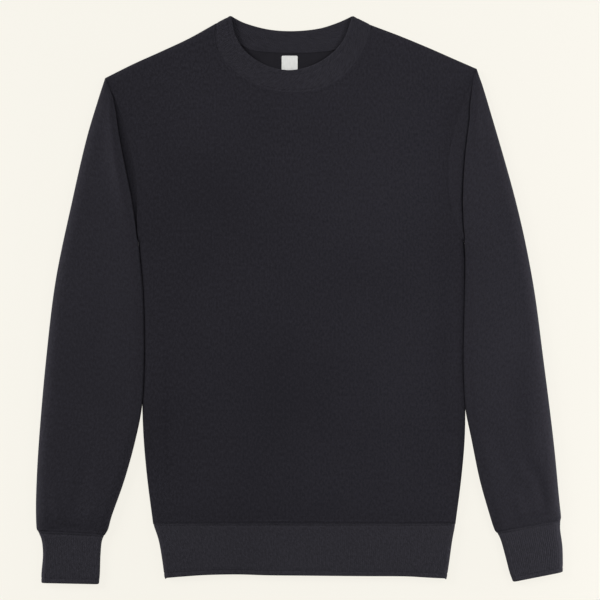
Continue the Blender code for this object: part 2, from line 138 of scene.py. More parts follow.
bpy.ops.object.select_all(action="DESELECT")
bpy.ops.mesh.primitive_plane_add(size=TABLE_WIDTH)
floor = bpy.context.object
floor.name = "table"
for corner in floor.data.vertices:
    corner.co.z = -TABLE_DROP * MM
paint, _, _ = new_finish("matt cream table", {
    "Base Color": linear("4B4A47"), "Emission Color": linear("F8F5EC"),
    "Emission Strength": TABLE_GLOW, "Roughness": 0.9, "Specular IOR Level": 0.1})
floor.data.materials.append(paint)
print("The table is", TABLE_WIDTH, "m wide, and its finish is", paint.name)

# %% Light
ROOM_LIGHT = 0.42


def lamp(name, place, size, power):
    """A rectangular lamp that faces the middle of the garment."""
    aim = (-Vector(place)).to_track_quat("-Z", "Y").to_euler()
    bpy.ops.object.light_add(type="AREA", location=place, rotation=aim)
    light = bpy.context.object
    light.name = name
    light.data.shape = "RECTANGLE"
    light.data.size, light.data.size_y = size
    light.data.energy = power


room = bpy.data.worlds.new("pale room")
room.use_nodes = True
room.node_tree.nodes["Background"].inputs["Color"].default_value = (1.0, 1.0, 1.0, 1.0)
room.node_tree.nodes["Background"].inputs["Strength"].default_value = ROOM_LIGHT
bpy.context.scene.world = room

lamp("wide lamp at the right", (-3.4, 1.8, 2.0), (1.5, 1.5), 145.0)
lamp("lamp above the left shoulder", (0.95, 0.5, 0.8), (0.5, 0.5), 7.2)
lamp("low strip lamp at the left", (0.62, -0.08, 0.035), (0.9, 0.04), 2.9)
lamp("lamp beside the left cuff", (0.62, -0.62, 0.22), (0.2, 0.2), 0.9)
lamp("low strip lamp at the right", (-0.62, -0.05, 0.035), (0.8, 0.04), 1.4)
bpy.context.scene.view_settings.view_transform = "Standard"
print("Lamps and their power in watts:", {light.name: round(light.energy, 1) for light in bpy.data.lights})

# %% [markdown]
# ## The cut
# The tables that shaped the part, in millimetres, fitted a little closer: up to two millimetres
# at the shoulders, the underarms, the neck and the hem, and five at the right cuff's seam.  The
# neck points to +Y, the front faces up, and the wearer's left is +X.  A short row of points with
# a smooth curve through them is how a pattern cutter draws an armhole or a neckline, too.

# %% Cloth and lofts
FLEECE = 2.4              # wall of front, back and sleeves
RIB_WALL = 3.0            # doubled rib of neckband, cuffs and hem band
BODY_LOFT = 7.4           # height of the front's face above the table
ARM_LOFT = 8.4            # height of a sleeve
BAND_LOFT = 8.8           # height of the rib bands, laid double
BODY_FOLD = 9.0           # how far from its edge the body's cloth bends over
ARM_FOLD = 13.0
BAND_FOLD = 5.2
CORNER_GAP = 0.05         # clearance where a seam crosses a fold; elsewhere seams meet edge to edge
print("The body lies", BODY_LOFT, "mm high, the sleeves", ARM_LOFT, "mm and the ribs", BAND_LOFT, "mm")

# %% Outlines
# height y, wearer's right side x, wearer's left side x, from hem seam to underarm
BODY_SIDES = (
    (-280.8, -183.8, 195.7), (-226.0, -190.9, 202.8), (-176.0, -195.5, 207.2),
    (-130.0, -197.3, 208.0), (-110.0, -196.2, 206.6), (-70.0, -195.0, 205.6),
    (3.0, -196.2, 207.2), (45.0, -199.4, 207.8), (73.5, -202.3, 206.6),
)
# armhole seams, shoulder point to underarm: x, y
ARMHOLE_RIGHT = (
    (-243.9, 277.9), (-228.9, 246.5), (-216.3, 212.7), (-207.0, 175.0),
    (-202.2, 135.0), (-203.4, 98.0), (-202.3, 73.5),
)
ARMHOLE_LEFT = (
    (222.4, 289.4), (208.8, 256.6), (196.3, 222.7), (188.4, 187.6),
    (186.2, 152.5), (188.9, 120.0), (196.6, 96.0), (206.6, 73.5),
)
# shoulder folds, shoulder point to neck seam: x, y
SHOULDER_RIGHT = ((-243.9, 277.9), (-208.5, 295.6), (-172.5, 311.8), (-138.0, 328.0), (-105.0, 346.5))
SHOULDER_LEFT = ((222.4, 289.4), (193.5, 302.0), (163.0, 315.4), (127.0, 330.3), (90.3, 344.2))
# neckband's seam and edge, wearer's right to left: x, y
NECK_SEAM_FRONT = (
    (-105.0, 346.5), (-104.4, 322.0), (-94.5, 300.5), (-69.5, 277.6), (-38.0, 263.2), (-8.0, 259.6),
    (24.0, 263.4), (52.0, 278.3), (73.5, 302.5), (84.5, 324.5), (90.3, 344.2),
)
NECK_EDGE_FRONT = (
    (-86.4, 356.3), (-79.2, 328.5), (-64.0, 307.8), (-40.0, 293.0), (-12.5, 287.6),
    (15.0, 293.4), (38.2, 306.8), (55.8, 327.0), (66.4, 356.1),
)
NECK_SEAM_BACK = (
    (-105.0, 346.5), (-67.5, 316.5), (-38.0, 310.8), (-8.0, 309.8), (22.0, 310.8), (50.5, 316.5),
    (90.3, 344.2),
)
NECK_EDGE_BACK = (
    (-86.4, 356.3), (-67.5, 346.9), (-38.0, 339.2), (-7.4, 337.3), (24.0, 340.4), (48.0, 347.8),
    (66.4, 356.1),
)
# sleeve folds, from the shoulder point or the underarm down to the cuff: x, y
OUTER_FOLD_RIGHT = (
    (-243.9, 277.9), (-252.8, 250.3), (-267.7, 200.0), (-285.0, 124.9), (-305.9, 24.6), (-318.1, -75.7),
    (-326.9, -176.1), (-330.5, -245.0), (-330.2, -283.5), (-327.8, -291.0),
)
INNER_FOLD_RIGHT = (
    (-202.3, 73.5), (-199.4, 45.0), (-196.2, 3.0), (-195.0, -70.0), (-197.6, -130.0), (-206.3, -176.1),
    (-220.1, -226.2), (-235.6, -270.1), (-240.3, -287.0), (-244.6, -295.0),
)
OUTER_FOLD_LEFT = (
    (222.4, 289.4), (225.2, 281.0), (235.2, 250.3), (271.0, 124.9), (292.4, 24.6), (306.1, -75.7),
    (318.6, -176.1), (325.6, -248.0), (328.0, -271.0), (327.4, -276.6),
)
INNER_FOLD_LEFT = (
    (206.6, 73.5), (207.8, 45.0), (207.2, 3.0), (205.6, -70.0), (206.6, -110.0), (208.4, -137.0),
    (216.3, -176.1), (226.6, -226.2), (239.0, -270.1), (244.6, -287.4), (247.6, -292.0),
)
# cuffs, seam to end: inner fold x, y, outer fold x, y
CUFF_RIGHT = (
    (-244.6, -295.0, -327.8, -291.0), (-248.0, -303.5, -323.4, -302.0),
    (-249.6, -321.0, -321.9, -320.3), (-250.4, -344.1, -323.8, -343.6),
    (-251.6, -356.8, -323.8, -355.3),
)
CUFF_LEFT = (
    (247.6, -292.0, 327.4, -276.6), (252.4, -301.5, 327.0, -288.0), (258.2, -322.0, 329.8, -309.0),
    (263.4, -342.0, 330.4, -329.0), (267.8, -354.0, 330.3, -341.6),
)
# hem band, seam to end: right fold x, y, left fold x, y
HEM_BAND = (
    (-183.8, -280.8, 195.7, -280.8), (-176.7, -301.5, 191.6, -301.5),
    (-172.2, -326.5, 188.0, -326.5), (-169.3, -348.5, 184.6, -348.5),
)
# how far the hem's lower edge rises between its corners: share of its width, rise
HEM_RISE = (
    (0.0, -0.6), (0.06, 1.2), (0.15, 3.3), (0.26, 4.0), (0.37, 2.9), (0.5, 2.5),
    (0.7, 1.9), (0.85, 1.6), (0.94, -0.1), (1.0, -1.0),
)
FLAT_END = ((0.0, 0.0), (1.0, 0.0))
print("Chest, laid flat:", round(BODY_SIDES[-1][2] - BODY_SIDES[-1][1], 1), "mm from side to side")

# %% [markdown]
# ## Curves in the plan
# A flat garment is drawn in the plan first, and gets its height afterwards from how far each
# point lies from a fold, a seam or a crease.  So the tools are a smooth curve through table
# points, lengths along it, a copy moved sideways, and the distance from points to a curve.


# %% Curve tools
def unit(vectors):
    """The same directions, one long."""
    return vectors / np.maximum(np.linalg.norm(vectors, axis=-1, keepdims=True), 1e-9)


def curve(points, steps=10):
    """Smooth path through table points (Catmull-Rom)."""
    knots = np.array(points, float)
    ends = np.vstack((2 * knots[0] - knots[1], knots, 2 * knots[-1] - knots[-2]))
    t = np.linspace(0.0, 1.0, steps, endpoint=False)[:, None]
    pieces = []
    for a, b, c, d in zip(ends, ends[1:], ends[2:], ends[3:]):
        slope = (c - a) * t + (2 * a - 5 * b + 4 * c - d) * t ** 2 + (3 * b - a - 3 * c + d) * t ** 3
        pieces.append(b + 0.5 * slope)
    return np.vstack(pieces + [knots[-1:]])


def lengths(path):
    """Distance along a path at each of its points."""
    return np.concatenate(((0.0,), np.cumsum(np.linalg.norm(np.diff(path, axis=0), axis=1))))


def at(path, distance):
    """Points of a path at the given distances along it."""
    run = lengths(path)
    return np.column_stack([np.interp(distance, run, path[:, k]) for k in range(path.shape[1])])


def shifted(path, amount):
    """The path moved sideways, to the left of its own direction."""
    along = unit(np.gradient(path, axis=0))
    return path + amount * np.column_stack((-along[:, 1], along[:, 0]))


def beside(points, path):
    """From each point: the distance to a path, and how far along the path that is, 0 to 1."""
    flat = points.reshape(-1, 2)
    run = lengths(path)
    nearest, share = np.full(len(flat), np.inf), np.zeros(len(flat))
    for start, stop, before, after in zip(path[:-1], path[1:], run[:-1], run[1:]):
        span = stop - start
        t = np.clip((flat - start) @ span / max(span @ span, 1e-9), 0.0, 1.0)
        away = np.linalg.norm(flat - start - t[:, None] * span, axis=1)
        closer = away < nearest
        nearest[closer] = away[closer]
        share[closer] = ((before + t * (after - before)) / run[-1])[closer]
    return nearest.reshape(points.shape[:-1]), share.reshape(points.shape[:-1])


def distance_to(points, *paths):
    """The shortest distance from each point to any of the paths."""
    return np.min([beside(points, path)[0] for path in paths], axis=0)


print("Armhole seams:", [round(lengths(curve(seam))[-1]) for seam in (ARMHOLE_RIGHT, ARMHOLE_LEFT)], "mm")

# %% [markdown]
# ## Folds, seams and creases as heights
# Where cloth turns over at a fold it runs along a quarter circle.  A seam is a narrow groove
# between two edges: its allowance lies under the cloth beside it and lifts it a little, and each
# row of stitches pulls a thin line back down.  A crease is a soft trough or ridge along a curve,
# deepest in its middle, so every one is written as a few points, a half width and a height.

# %% Folds
TURN = np.radians((0.0, 15.0, 30.0, 45.0, 60.0, 75.0, 90.0))


def quarter_turn(distance, reach):
    """0 at a folded edge, 1 where the cloth is level, along a quarter of an ellipse."""
    lean = np.clip(1.0 - distance / reach, 0.0, 1.0)
    return np.sqrt(1.0 - lean ** 2)


def across(total, inner_count, fold):
    """Distances across a piece, closer together where it rolls over at both ends."""
    roll = fold * (1.0 - np.cos(TURN))
    middle = np.linspace(fold, total - fold, inner_count + 1)[1:-1]
    return np.concatenate((roll, middle, (total - roll)[::-1]))


def swelling(distance, reach):
    """0 at an edge, 1 well inside."""
    return 1.0 - np.exp(-(distance / reach) ** 2)


def groove(distance, half_width):
    """1 along a line, 0 well beside it."""
    return np.exp(-(distance / half_width) ** 2)


print("Half way across a fold the cloth has", round(float(quarter_turn(0.5, 1.0)), 2), "of its height")

# %% Seams
SEAM_STEPS = np.array((0.0, 0.5, 1.0, 1.5, 2.1, 2.8, 3.6, 4.4, 5.0, 5.6, 6.4, 7.6, 9.4, 12.0))
STITCH_ROWS = (1.6, 5.0)     # distance of the two rows of a twin-needle seam from the seam
NECK_ROW = 3.7               # the neckband has one row, below its seam
BAND_SEAM_ROWS = (1.7, 1.9)  # cuffs and hem have a row on each side of the seam: above, below
SEAM_DEPTH, SEAM_HALF_WIDTH = 0.6, 0.9
STITCH_DEPTH, STITCH_HALF_WIDTH = 0.3, 0.7
ALLOWANCE_LIFT = 0.4
ALLOWANCE_REACH = 1.6        # how far the allowance goes on under the cloth past its outer row
BAND_ALLOWANCE = 3.9         # how far it goes above a band's seam
SOFTNESS, BAND_SOFTNESS = 0.5, 0.4        # how gently an allowance ends, beside a seam and a band
BAND_LIFT, BAND_PULL, BAND_PULL_HALF_WIDTH = 0.35, 0.4, 0.8
RIB_PULL, RIB_PULL_HALF_WIDTH = 0.45, 1.0 # the same pull on the rib below the seam


def step_down(distance, place, softness):
    """1 before a place, 0 past it, with a soft step between."""
    return 1.0 / (1.0 + np.exp((distance - place) / softness))


def uneven(run):
    """Around 1 along a seam: how hard its thread pulls, which is never the same twice."""
    return 1.0 + 0.5 * np.sin(run / 9.0 + 1.0) * np.sin(run / 23.0) + 0.4 * np.sin(run / 41.0 + 2.0)


def sewn(distance, strength, rows):
    """Height of stitched cloth at a distance from its seam."""
    allowance = ALLOWANCE_LIFT * step_down(distance, rows[-1] + ALLOWANCE_REACH, SOFTNESS)
    pulled = STITCH_DEPTH * sum(groove(distance - row, STITCH_HALF_WIDTH) for row in rows)
    return strength * (allowance - pulled - SEAM_DEPTH * groove(distance, SEAM_HALF_WIDTH))


def above_band(distance, run):
    """Height of cloth that is sewn to a band: lifted by the allowance, then pulled down."""
    allowance = BAND_LIFT * step_down(distance, BAND_ALLOWANCE, BAND_SOFTNESS)
    return allowance - BAND_PULL * uneven(run) * groove(distance - BAND_SEAM_ROWS[0], BAND_PULL_HALF_WIDTH)


def below_seam(distance, run):
    """Height of a rib band beside its seam, where the thread draws the ridges in."""
    return -RIB_PULL * uneven(run) * groove(distance - BAND_SEAM_ROWS[1], RIB_PULL_HALF_WIDTH)


print("A seam at full strength lies", round(-sewn(np.zeros(1), 1.0, STITCH_ROWS)[0], 2), "mm below the cloth")


# %% Creases
def creased(plan, creases):
    """Sum of creases, which fade towards their ends: points of its line, half width, height
    (below 0 for a trough)."""
    total = np.zeros(plan.shape[:-1])
    for line, half_width, height in creases:
        away, share = beside(plan, curve(line, 6))
        total += height * groove(away, half_width) * np.sin(np.pi * share) ** 0.8
    return total


trial = creased(np.array(((1.0, 0.0), (5.0, 0.0))), ((((0, 0), (5, 0), (10, 0)), 8, -1.0),))
print("A trough 1 mm deep and 10 mm long: height 1 mm from its end and in its middle", trial.round(2))

# %% [markdown]
# ## From a grid of points to a piece of cloth
# Each piece is a grid of points: its outer face.  The same grid, one wall further in, is its
# inner face, and a strip closes the rim, so the piece is a closed shell of even thickness like
# real cloth.  A Solidify modifier would do the same for a plain sheet, but here ribs raise only
# the outer points and a crease is pressed thinner, so the walls are made point by point.

# %% Faces of a grid
def grid_faces(ids, flip):
    """Quads between neighbours of a grid, as places in it; -1 marks a place with no point.
    Rows that run to -Y with columns that run to +X look up; flip turns them over."""
    place = np.arange(ids.size).reshape(ids.shape)
    quads = np.stack((place[:-1, :-1], place[1:, :-1], place[1:, 1:], place[:-1, 1:]), axis=-1)
    quads = quads.reshape(-1, 4)
    quads = quads[(ids.ravel()[quads] >= 0).all(axis=1)]
    return quads[:, ::-1] if flip else quads


def rim_edges(quads, count):
    """Edges with a face on one side only, in the direction of that face."""
    edges = np.concatenate([quads[:, [k, (k + 1) % 4]] for k in range(4)])
    forward, backward = edges[:, 0] * count + edges[:, 1], edges[:, 1] * count + edges[:, 0]
    return edges[~np.isin(forward, backward)]


trial = grid_faces(np.arange(12).reshape(3, 4), False)
print("A grid of 3 by 4 points has", len(trial), "faces and", len(rim_edges(trial, 12)), "edges on its rim")

# %% [markdown]
# The wall has its thickness square to the face of the cloth, so every point needs a direction.
# Along a seam that direction stays in the plane of the cut, so two pieces that are sewn together
# meet wall to wall and don't cross.

# %% Which way is out
LEVEL_FROM = 0.9             # share of a fold's width past which its cloth counts as level


def face_across(points, quads):
    """Square to each face, and twice as long as the face is large."""
    corner = points[quads]
    return np.cross(corner[:, 2] - corner[:, 0], corner[:, 3] - corner[:, 1])


def outward(points, quads, rim, butted, level):
    """Which way is out of the cloth: straight up or down where it lies level, square to its
    face where it rolls over, and in the seam's own plane along the butted edges."""
    face = face_across(points, quads)
    normals = np.zeros_like(points)
    for k in range(4):
        np.add.at(normals, quads[:, k], face)
    normals = unit(normals)
    normals[level, :2] = 0.0
    rolled = rim[~butted[rim].all(axis=1)].ravel()
    normals[rolled[~level[rolled]], 2] = 0.0
    along = np.zeros_like(points)
    for a, b in rim:
        if butted[a] and butted[b]:
            step = unit((points[b] - points[a]) * (1.0, 1.0, 0.0))
            for v in (a, b):
                along[v] += step if along[v] @ step >= 0.0 else -step
    sideways = unit(along)[:, [1, 0, 2]] * (-1.0, 1.0, 0.0)
    normals -= (normals * sideways).sum(1, keepdims=True) * sideways
    return unit(normals)


# %% [markdown]
# Each corner of a face also stores where it lies on the flat cloth, in metres, as a UV map, so
# that the knit follows the cloth round every fold.  The piece then hangs under the garment's root,
# and the part's solid that it stands for is hidden.

# %% A closed shell
SHARP_FROM = 60.0            # edges that bend more than this many degrees stay crisp


def cloth(name, points, ids, flat, butted, level, wall, finishes, flip, raised=0.0, lowered=0.0):
    """A closed shell.  ids: which point is at each place of the grid; flat: where that place lies
    on the flat cloth; butted, level: points on a seam, points where the cloth lies level; raised:
    how far the outer face stands out; lowered: how far the inner face stands in."""
    places = grid_faces(ids, flip)
    quads = ids.ravel()[places]
    count = len(points)
    rim = rim_edges(quads, count)
    out = outward(points, quads, rim, butted, level)
    outer = points + out * np.reshape(raised, (-1, 1))
    inner = points - out * (wall + np.reshape(lowered, (-1, 1)))
    rims = np.array([(b, a, a + count, b + count) for a, b in rim])
    faces = np.concatenate((quads, quads[:, ::-1] + count, rims))

    mesh = bpy.data.meshes.new(name)
    mesh.from_pydata((np.vstack((outer, inner)) * MM).tolist(), [], faces.tolist())
    flat = flat.reshape(-1, 2)
    at_point = np.zeros((count, 2))
    known = ids.ravel() >= 0
    at_point[ids.ravel()[known]] = flat[known]
    corners = np.concatenate((flat[places], flat[places[:, ::-1]], at_point[rims % count]))
    mesh.uv_layers.new(name="cut").data.foreach_set("uv", (corners * MM).ravel())
    for finish in finishes:
        mesh.materials.append(finish)
    inside = np.zeros(len(faces), np.int32)
    inside[len(quads):2 * len(quads)] = len(finishes) - 1
    mesh.polygons.foreach_set("material_index", inside)
    mesh.shade_smooth()
    mesh.set_sharp_from_angle(angle=np.radians(SHARP_FROM))
    piece = bpy.data.objects.new(name, mesh)
    bpy.context.scene.collection.objects.link(piece)
    area = np.linalg.norm(face_across(outer, quads), axis=1).sum() / 2
    print(name, "has", len(faces), "faces, and its outer face is", round(area / 1e6, 4), "square metres")
    return piece


def in_place(piece, node):
    """Hangs the piece under the garment's root, and hides the part's solid that it stands for."""
    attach(piece, "root")
    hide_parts(node)


# %% [markdown]
# ## Finishes
# The cloth is brushed-back sweatshirt fleece: cotton knitted in plain jersey, dyed charcoal.  Its
# face is matt with a faint bloom of fibres.  Rib is the same yarn knitted in ridges, and gets tones
# a shade lighter.  Body and collar get darker tones than sleeves and bands, which is painted shade,
# and the body gets broad soft patches of painted shade, and one of painted light.  Real loops are
# under a millimetre wide, too fine to show from two metres away, so the bump draws them about twice
# as large.

# %% Knitted cotton
WALE, COURSE = 1.7, 1.4       # width and height of a drawn loop, in millimetres
FLECK = 2.381                 # size of a fleck of uneven yarn
YARN = (2.381, 4.167)         # a thick or thin stretch of yarn, across the wales and along them
DYE_CLOUD = 200.0             # size of the broad unevenness of the dye
FLECK_RELIEF, RIDGE_RELIEF = 2.2, 3.0       # how far both stand up, against a loop's wave of 1
YARN_SHARE, DYE_SHARE = 0.8, 0.2            # what the tone comes from
TONE_RANGE = {"From Min": 0.38, "From Max": 0.62}   # noise seldom goes further from its middle
# painted shade and painted light on the body, darker or paler places: x, y, reach in millimetres, tone
PAINTED_SHADE_AND_LIGHT = (
    (-12.0, -105.0, 145.0, -0.075),
    (-142.0, 100.0, 150.0, -0.075),
    (-156.0, -164.0, 95.0, -0.05),
    (107.0, 118.0, 120.0, 0.035),
)


def knitted(name, tones, loop_depth, bloom, painted_patches=()):
    """Cotton jersey or rib, matt and softly mottled.  tones: its dark and light tone; loop_depth: how
    far the loops stand up, in millimetres; bloom: how much loose fibres catch the light; the last
    argument: places of painted shade and painted light, darker or paler."""
    material, tree, shader = new_finish(name, {
        "Roughness": 0.95, "Specular IOR Level": 0.06, "Sheen Weight": bloom,
        "Sheen Roughness": 0.35, "Sheen Tint": linear("C9C7D2")})
    cut = add_node(tree, "UVMap", {"uv_map": "cut"})
    place = add_node(tree, "TexCoord", output="Object")

    # rows of V-shaped loops: a wave that turns back in the middle of each wale, which lies lower
    wales = add_node(tree, "Mapping", {"Scale": (per_metre(WALE), per_metre(COURSE), 1.0)}, {"Vector": cut})
    wales = add_node(tree, "SeparateXYZ", (), {0: wales})
    lean = add_node(tree, "Math", {"operation": "PINGPONG", 1: 0.5}, {0: wales})
    slant = add_node(tree, "Math", {"operation": "ADD"}, {0: wales.node.outputs["Y"], 1: lean})
    turns = add_node(tree, "Math", {"operation": "MULTIPLY", 1: 2 * np.pi}, {0: slant})
    wave = add_node(tree, "Math", {"operation": "SINE"}, {0: turns})
    ridge = add_node(tree, "Math", {"operation": "MULTIPLY_ADD", 1: -RIDGE_RELIEF, 2: 1.0}, {0: lean})
    loop = add_node(tree, "Math", {"operation": "ADD"}, {0: wave, 1: ridge})
    fleck = add_node(tree, "TexNoise", {"Scale": per_metre(FLECK), "Detail": 3.0, "Roughness": 0.7},
                     {"Vector": cut})
    height = add_node(tree, "Math", {"operation": "MULTIPLY_ADD", 1: FLECK_RELIEF}, {0: fleck, 2: loop})

    # the tone: mostly the yarn's own thick and thin stretches and some broad unevenness of the dye, and
    # patches of painted shade and painted light
    yarn = add_node(tree, "Mapping", {"Scale": (*map(per_metre, YARN), 1.0)}, {"Vector": cut})
    yarn = add_node(tree, "TexNoise", {"Scale": 1.0, "Detail": 2.0, "Roughness": 0.8}, {"Vector": yarn})
    broad = add_node(tree, "TexNoise", {"Scale": per_metre(DYE_CLOUD), "Detail": 3.0, "Roughness": 0.55},
                     {"Vector": place})
    mix = add_node(tree, "Math", {"operation": "MULTIPLY", 1: YARN_SHARE}, {0: yarn})
    mix = add_node(tree, "Math", {"operation": "MULTIPLY_ADD", 1: DYE_SHARE}, {0: broad, 2: mix})
    # each patch is painted shade or painted light: darker or paler within its reach, fading towards its rim
    for x, y, reach, change in painted_patches:
        away = add_node(tree, "VectorMath", {"operation": "DISTANCE", 1: (x * MM, y * MM, BODY_LOFT * MM)},
                        {0: place}, "Value")
        painted_patch = add_node(tree, "MapRange", {"interpolation_type": "SMOOTHERSTEP", "From Max": reach * MM,
                                            "To Min": change, "To Max": 0.0}, {"Value": away})
        mix = add_node(tree, "Math", {"operation": "ADD"}, {0: mix, 1: painted_patch})
    tone = add_node(tree, "MapRange", TONE_RANGE, {"Value": mix})
    lead_in(shader, tones, tone, height, 0.5, loop_depth)
    return material


jersey = knitted("charcoal jersey face", ("212025", "2A292F"), 0.16, 0.05)
# the body's jersey is a darker copy of the sleeves': its extra darkness is painted shade
body_jersey_painted_shade = knitted("charcoal jersey face, darkened as painted shade", ("1F1E23", "29282E"), 0.16, 0.05, PAINTED_SHADE_AND_LIGHT)
rib_knit = knitted("charcoal cotton rib", ("27262B", "313036"), 0.12, 0.06)
# the collar's rib is a darker copy of the bands': its extra darkness is painted shade
collar_knit_painted_shade = knitted("charcoal cotton rib, darkened as painted shade", ("232227", "2D2C32"), 0.12, 0.05)
print("Finishes:", [finish.name for finish in (jersey, body_jersey_painted_shade, rib_knit, collar_knit_painted_shade)])

# %% [markdown]
# The inside of the body is brushed: the loops on the back of the knit are combed out into a soft
# nap.  It shows only through the neck opening, as a cloudier surface with no loops, so this finish
# is noise alone: fine tufts for the bump, and wide clouds for the tone.  Its tones are darker than
# the face's, which is painted shade inside the neck opening.

# %% Brushed inside
TUFT, NAP_CLOUD = 1.43, 16.7  # sizes in millimetres; a tuft is drawn coarser than it is
nap_in_painted_shade, tree, shader = new_finish(
    "brushed fleece inside, darkened as painted shade", {"Roughness": 1.0, "Specular IOR Level": 0.04, "Sheen Weight": 0.08})
place = add_node(tree, "TexCoord", output="Object")
tufts = add_node(tree, "TexNoise", {"Scale": per_metre(TUFT), "Detail": 4.0, "Roughness": 0.75},
                 {"Vector": place})
cloud = add_node(tree, "TexNoise", {"Scale": per_metre(NAP_CLOUD), "Detail": 3.0}, {"Vector": place})
# the dark tones are painted shade inside the neck opening; the clouds are the nap's own unevenness
lead_in(shader, ("1A191D", "222126"), cloud, tufts, 0.6, 0.4)
print("Finish:", nap_in_painted_shade.name)

# %% [markdown]
# ## Front and back
# Both panels are the same cut but for the neck, which is scooped lower in front.  The yoke fans
# out from the neck seam to the armholes and the chest, and a straight part runs down to the hem.
# Rows crowd together beside every seam, where the stitched groove needs them.

# %% Creases of the front and back
# points of the crease's line, half width, height
FRONT_CREASES = (
    (((-166, 232), (-178, 150), (-172, 40)), 22, -0.9),
    (((-206, 206), (-196, 170), (-193, 132), (-193, 100)), 7, 0.9),
    (((8, 0), (-2, -120), (-8, -272)), 34, -0.7),
    (((30, -50), (25, -160), (25, -277)), 11, -0.8),
    (((180, 60), (184, -60), (180, -250)), 9, -1.3),
    (((-166, -40), (-165, -140), (-160, -272)), 8, -1.2),
    (((92, -40), (104, -150), (120, -276)), 20, 0.8),
    (((-90, -90), (-84, -180), (-78, -276)), 18, 0.6),
    (((64, 220), (96, 140), (124, 60)), 45, 0.8),
    (((-150, 290), (-120, 240), (-98, 170)), 26, 0.6),
    (((122, 300), (110, 250), (98, 200)), 22, 0.4),
    (((-60, 180), (-66, 110), (-60, 30)), 30, -0.5),
)
BACK_CREASES = (
    (((-150, 220), (-162, 120), (-156, 10)), 16, 0.5),
    (((20, 120), (10, -20), (4, -200)), 26, 0.5),
    (((150, 180), (160, 60), (152, -120)), 14, 0.4),
)

# %% Rows and columns of a panel
ARMHOLE_COLUMNS, CHEST_COLUMNS = 48, 110
YOKE_ROWS, STRAIGHT_ROWS = 44, 92
YOKE_SIDE_SHARE = 0.38       # part of the neck seam that faces each armhole
SHOULDER_REACH = 110.0       # how far from the shoulder fold the yoke follows it


def seam_run(total, count):
    """Distances along a seam that starts and ends at a folded edge."""
    roll = BODY_FOLD * (1.0 - np.cos(TURN))
    middle = np.linspace(BODY_FOLD, total - BODY_FOLD, count)[1:]
    return np.concatenate((roll, middle, total - roll[-2::-1]))


def between_seams(reach, count):
    """Distances from one seam to another, in rows, for every column."""
    first = SEAM_STEPS[:, None] + 0.0 * reach
    middle = first[-1] + (reach - 2 * first[-1]) * np.linspace(0.0, 1.0, count + 2)[1:-1, None]
    return np.vstack((first, middle, reach - SEAM_STEPS[::-1, None]))


def yoke(neck, armholes, shoulders, chest):
    """Plan points from the neck seam out to the armholes and the chest line, and how many
    columns face each armhole."""
    arms = [seam_run(lengths(armhole)[-1], ARMHOLE_COLUMNS) for armhole in armholes]
    right_arm, left_arm = (at(armhole, run)[:-1] for armhole, run in zip(armholes, arms))
    rim = np.vstack((right_arm, chest, left_arm[::-1]))
    neck_length = lengths(neck)[-1]
    side = seam_run(YOKE_SIDE_SHARE * neck_length, ARMHOLE_COLUMNS)[:-1]
    middle = np.linalg.norm(chest - chest[0], axis=1) / np.linalg.norm(chest[-1] - chest[0])
    middle = neck_length * (YOKE_SIDE_SHARE + (1.0 - 2.0 * YOKE_SIDE_SHARE) * middle)
    collar = at(neck, np.concatenate((side, middle, neck_length - side[::-1])))
    reach = np.linalg.norm(rim - collar, axis=1)[None, :]
    down = (between_seams(reach, YOKE_ROWS) / reach)[..., None]
    rows = collar + (rim - collar) * down
    run = lengths(rim)
    for end, shoulder in ((0, shoulders[0]), (-1, shoulders[1])):
        fold = at(shoulder[::-1], CORNER_GAP + down[:, end, 0] * (lengths(shoulder)[-1] - CORNER_GAP))
        away = np.abs(run - run[end])[None, :, None]
        rows = rows + groove(away, SHOULDER_REACH) * (fold[:, None] - rows[:, [end]])
    return rows, len(right_arm)


def panel_plan(neck, sides, armholes, shoulders):
    """Plan points of a panel as a grid, empty beside the straight part, and which are on a seam."""
    hem_y, chest_y = sides[0][[0, -1], 1]
    heights = np.linspace(chest_y, hem_y + SEAM_STEPS[-1], STRAIGHT_ROWS)
    rows = []
    for y in np.concatenate((heights[:-1], hem_y + SEAM_STEPS[::-1])):
        x_right, x_left = (np.interp(y, side[:, 1], side[:, 0]) for side in sides)
        x = x_right + across(x_left - x_right, CHEST_COLUMNS, BODY_FOLD)
        rows.append(np.column_stack((x, np.full(len(x), y))))
    top, start = yoke(neck, armholes, shoulders, rows[0])
    stop = start + len(rows[0])
    grid = np.full((len(top) + len(rows) - 1, top.shape[1], 2), np.nan)
    grid[:len(top)] = top
    grid[len(top):, start:stop] = rows[1:]
    butted = np.zeros(grid.shape[:2], bool)
    butted[[0, -1]] = True
    butted[len(top) - 1, :start] = True
    butted[len(top) - 1, stop:] = True
    return grid, butted


# %% [markdown]
# The plan then gets its heights.  Both faces turn over at the side and shoulder folds, where they
# meet.  The front swells a little between its seams, sinks into each of them and carries the
# creases.  The back lies flat on the table.

# %% Front and back
BODY_CROWN, CROWN_REACH = 1.4, 16.0  # how far the front swells, and how far from a seam it starts
SIDE_GAP = 0.35              # half the height left between front and back at their folds
NECK_PULL, ARM_PULL = 0.7, 0.4       # strength of the neck's and the armholes' seams


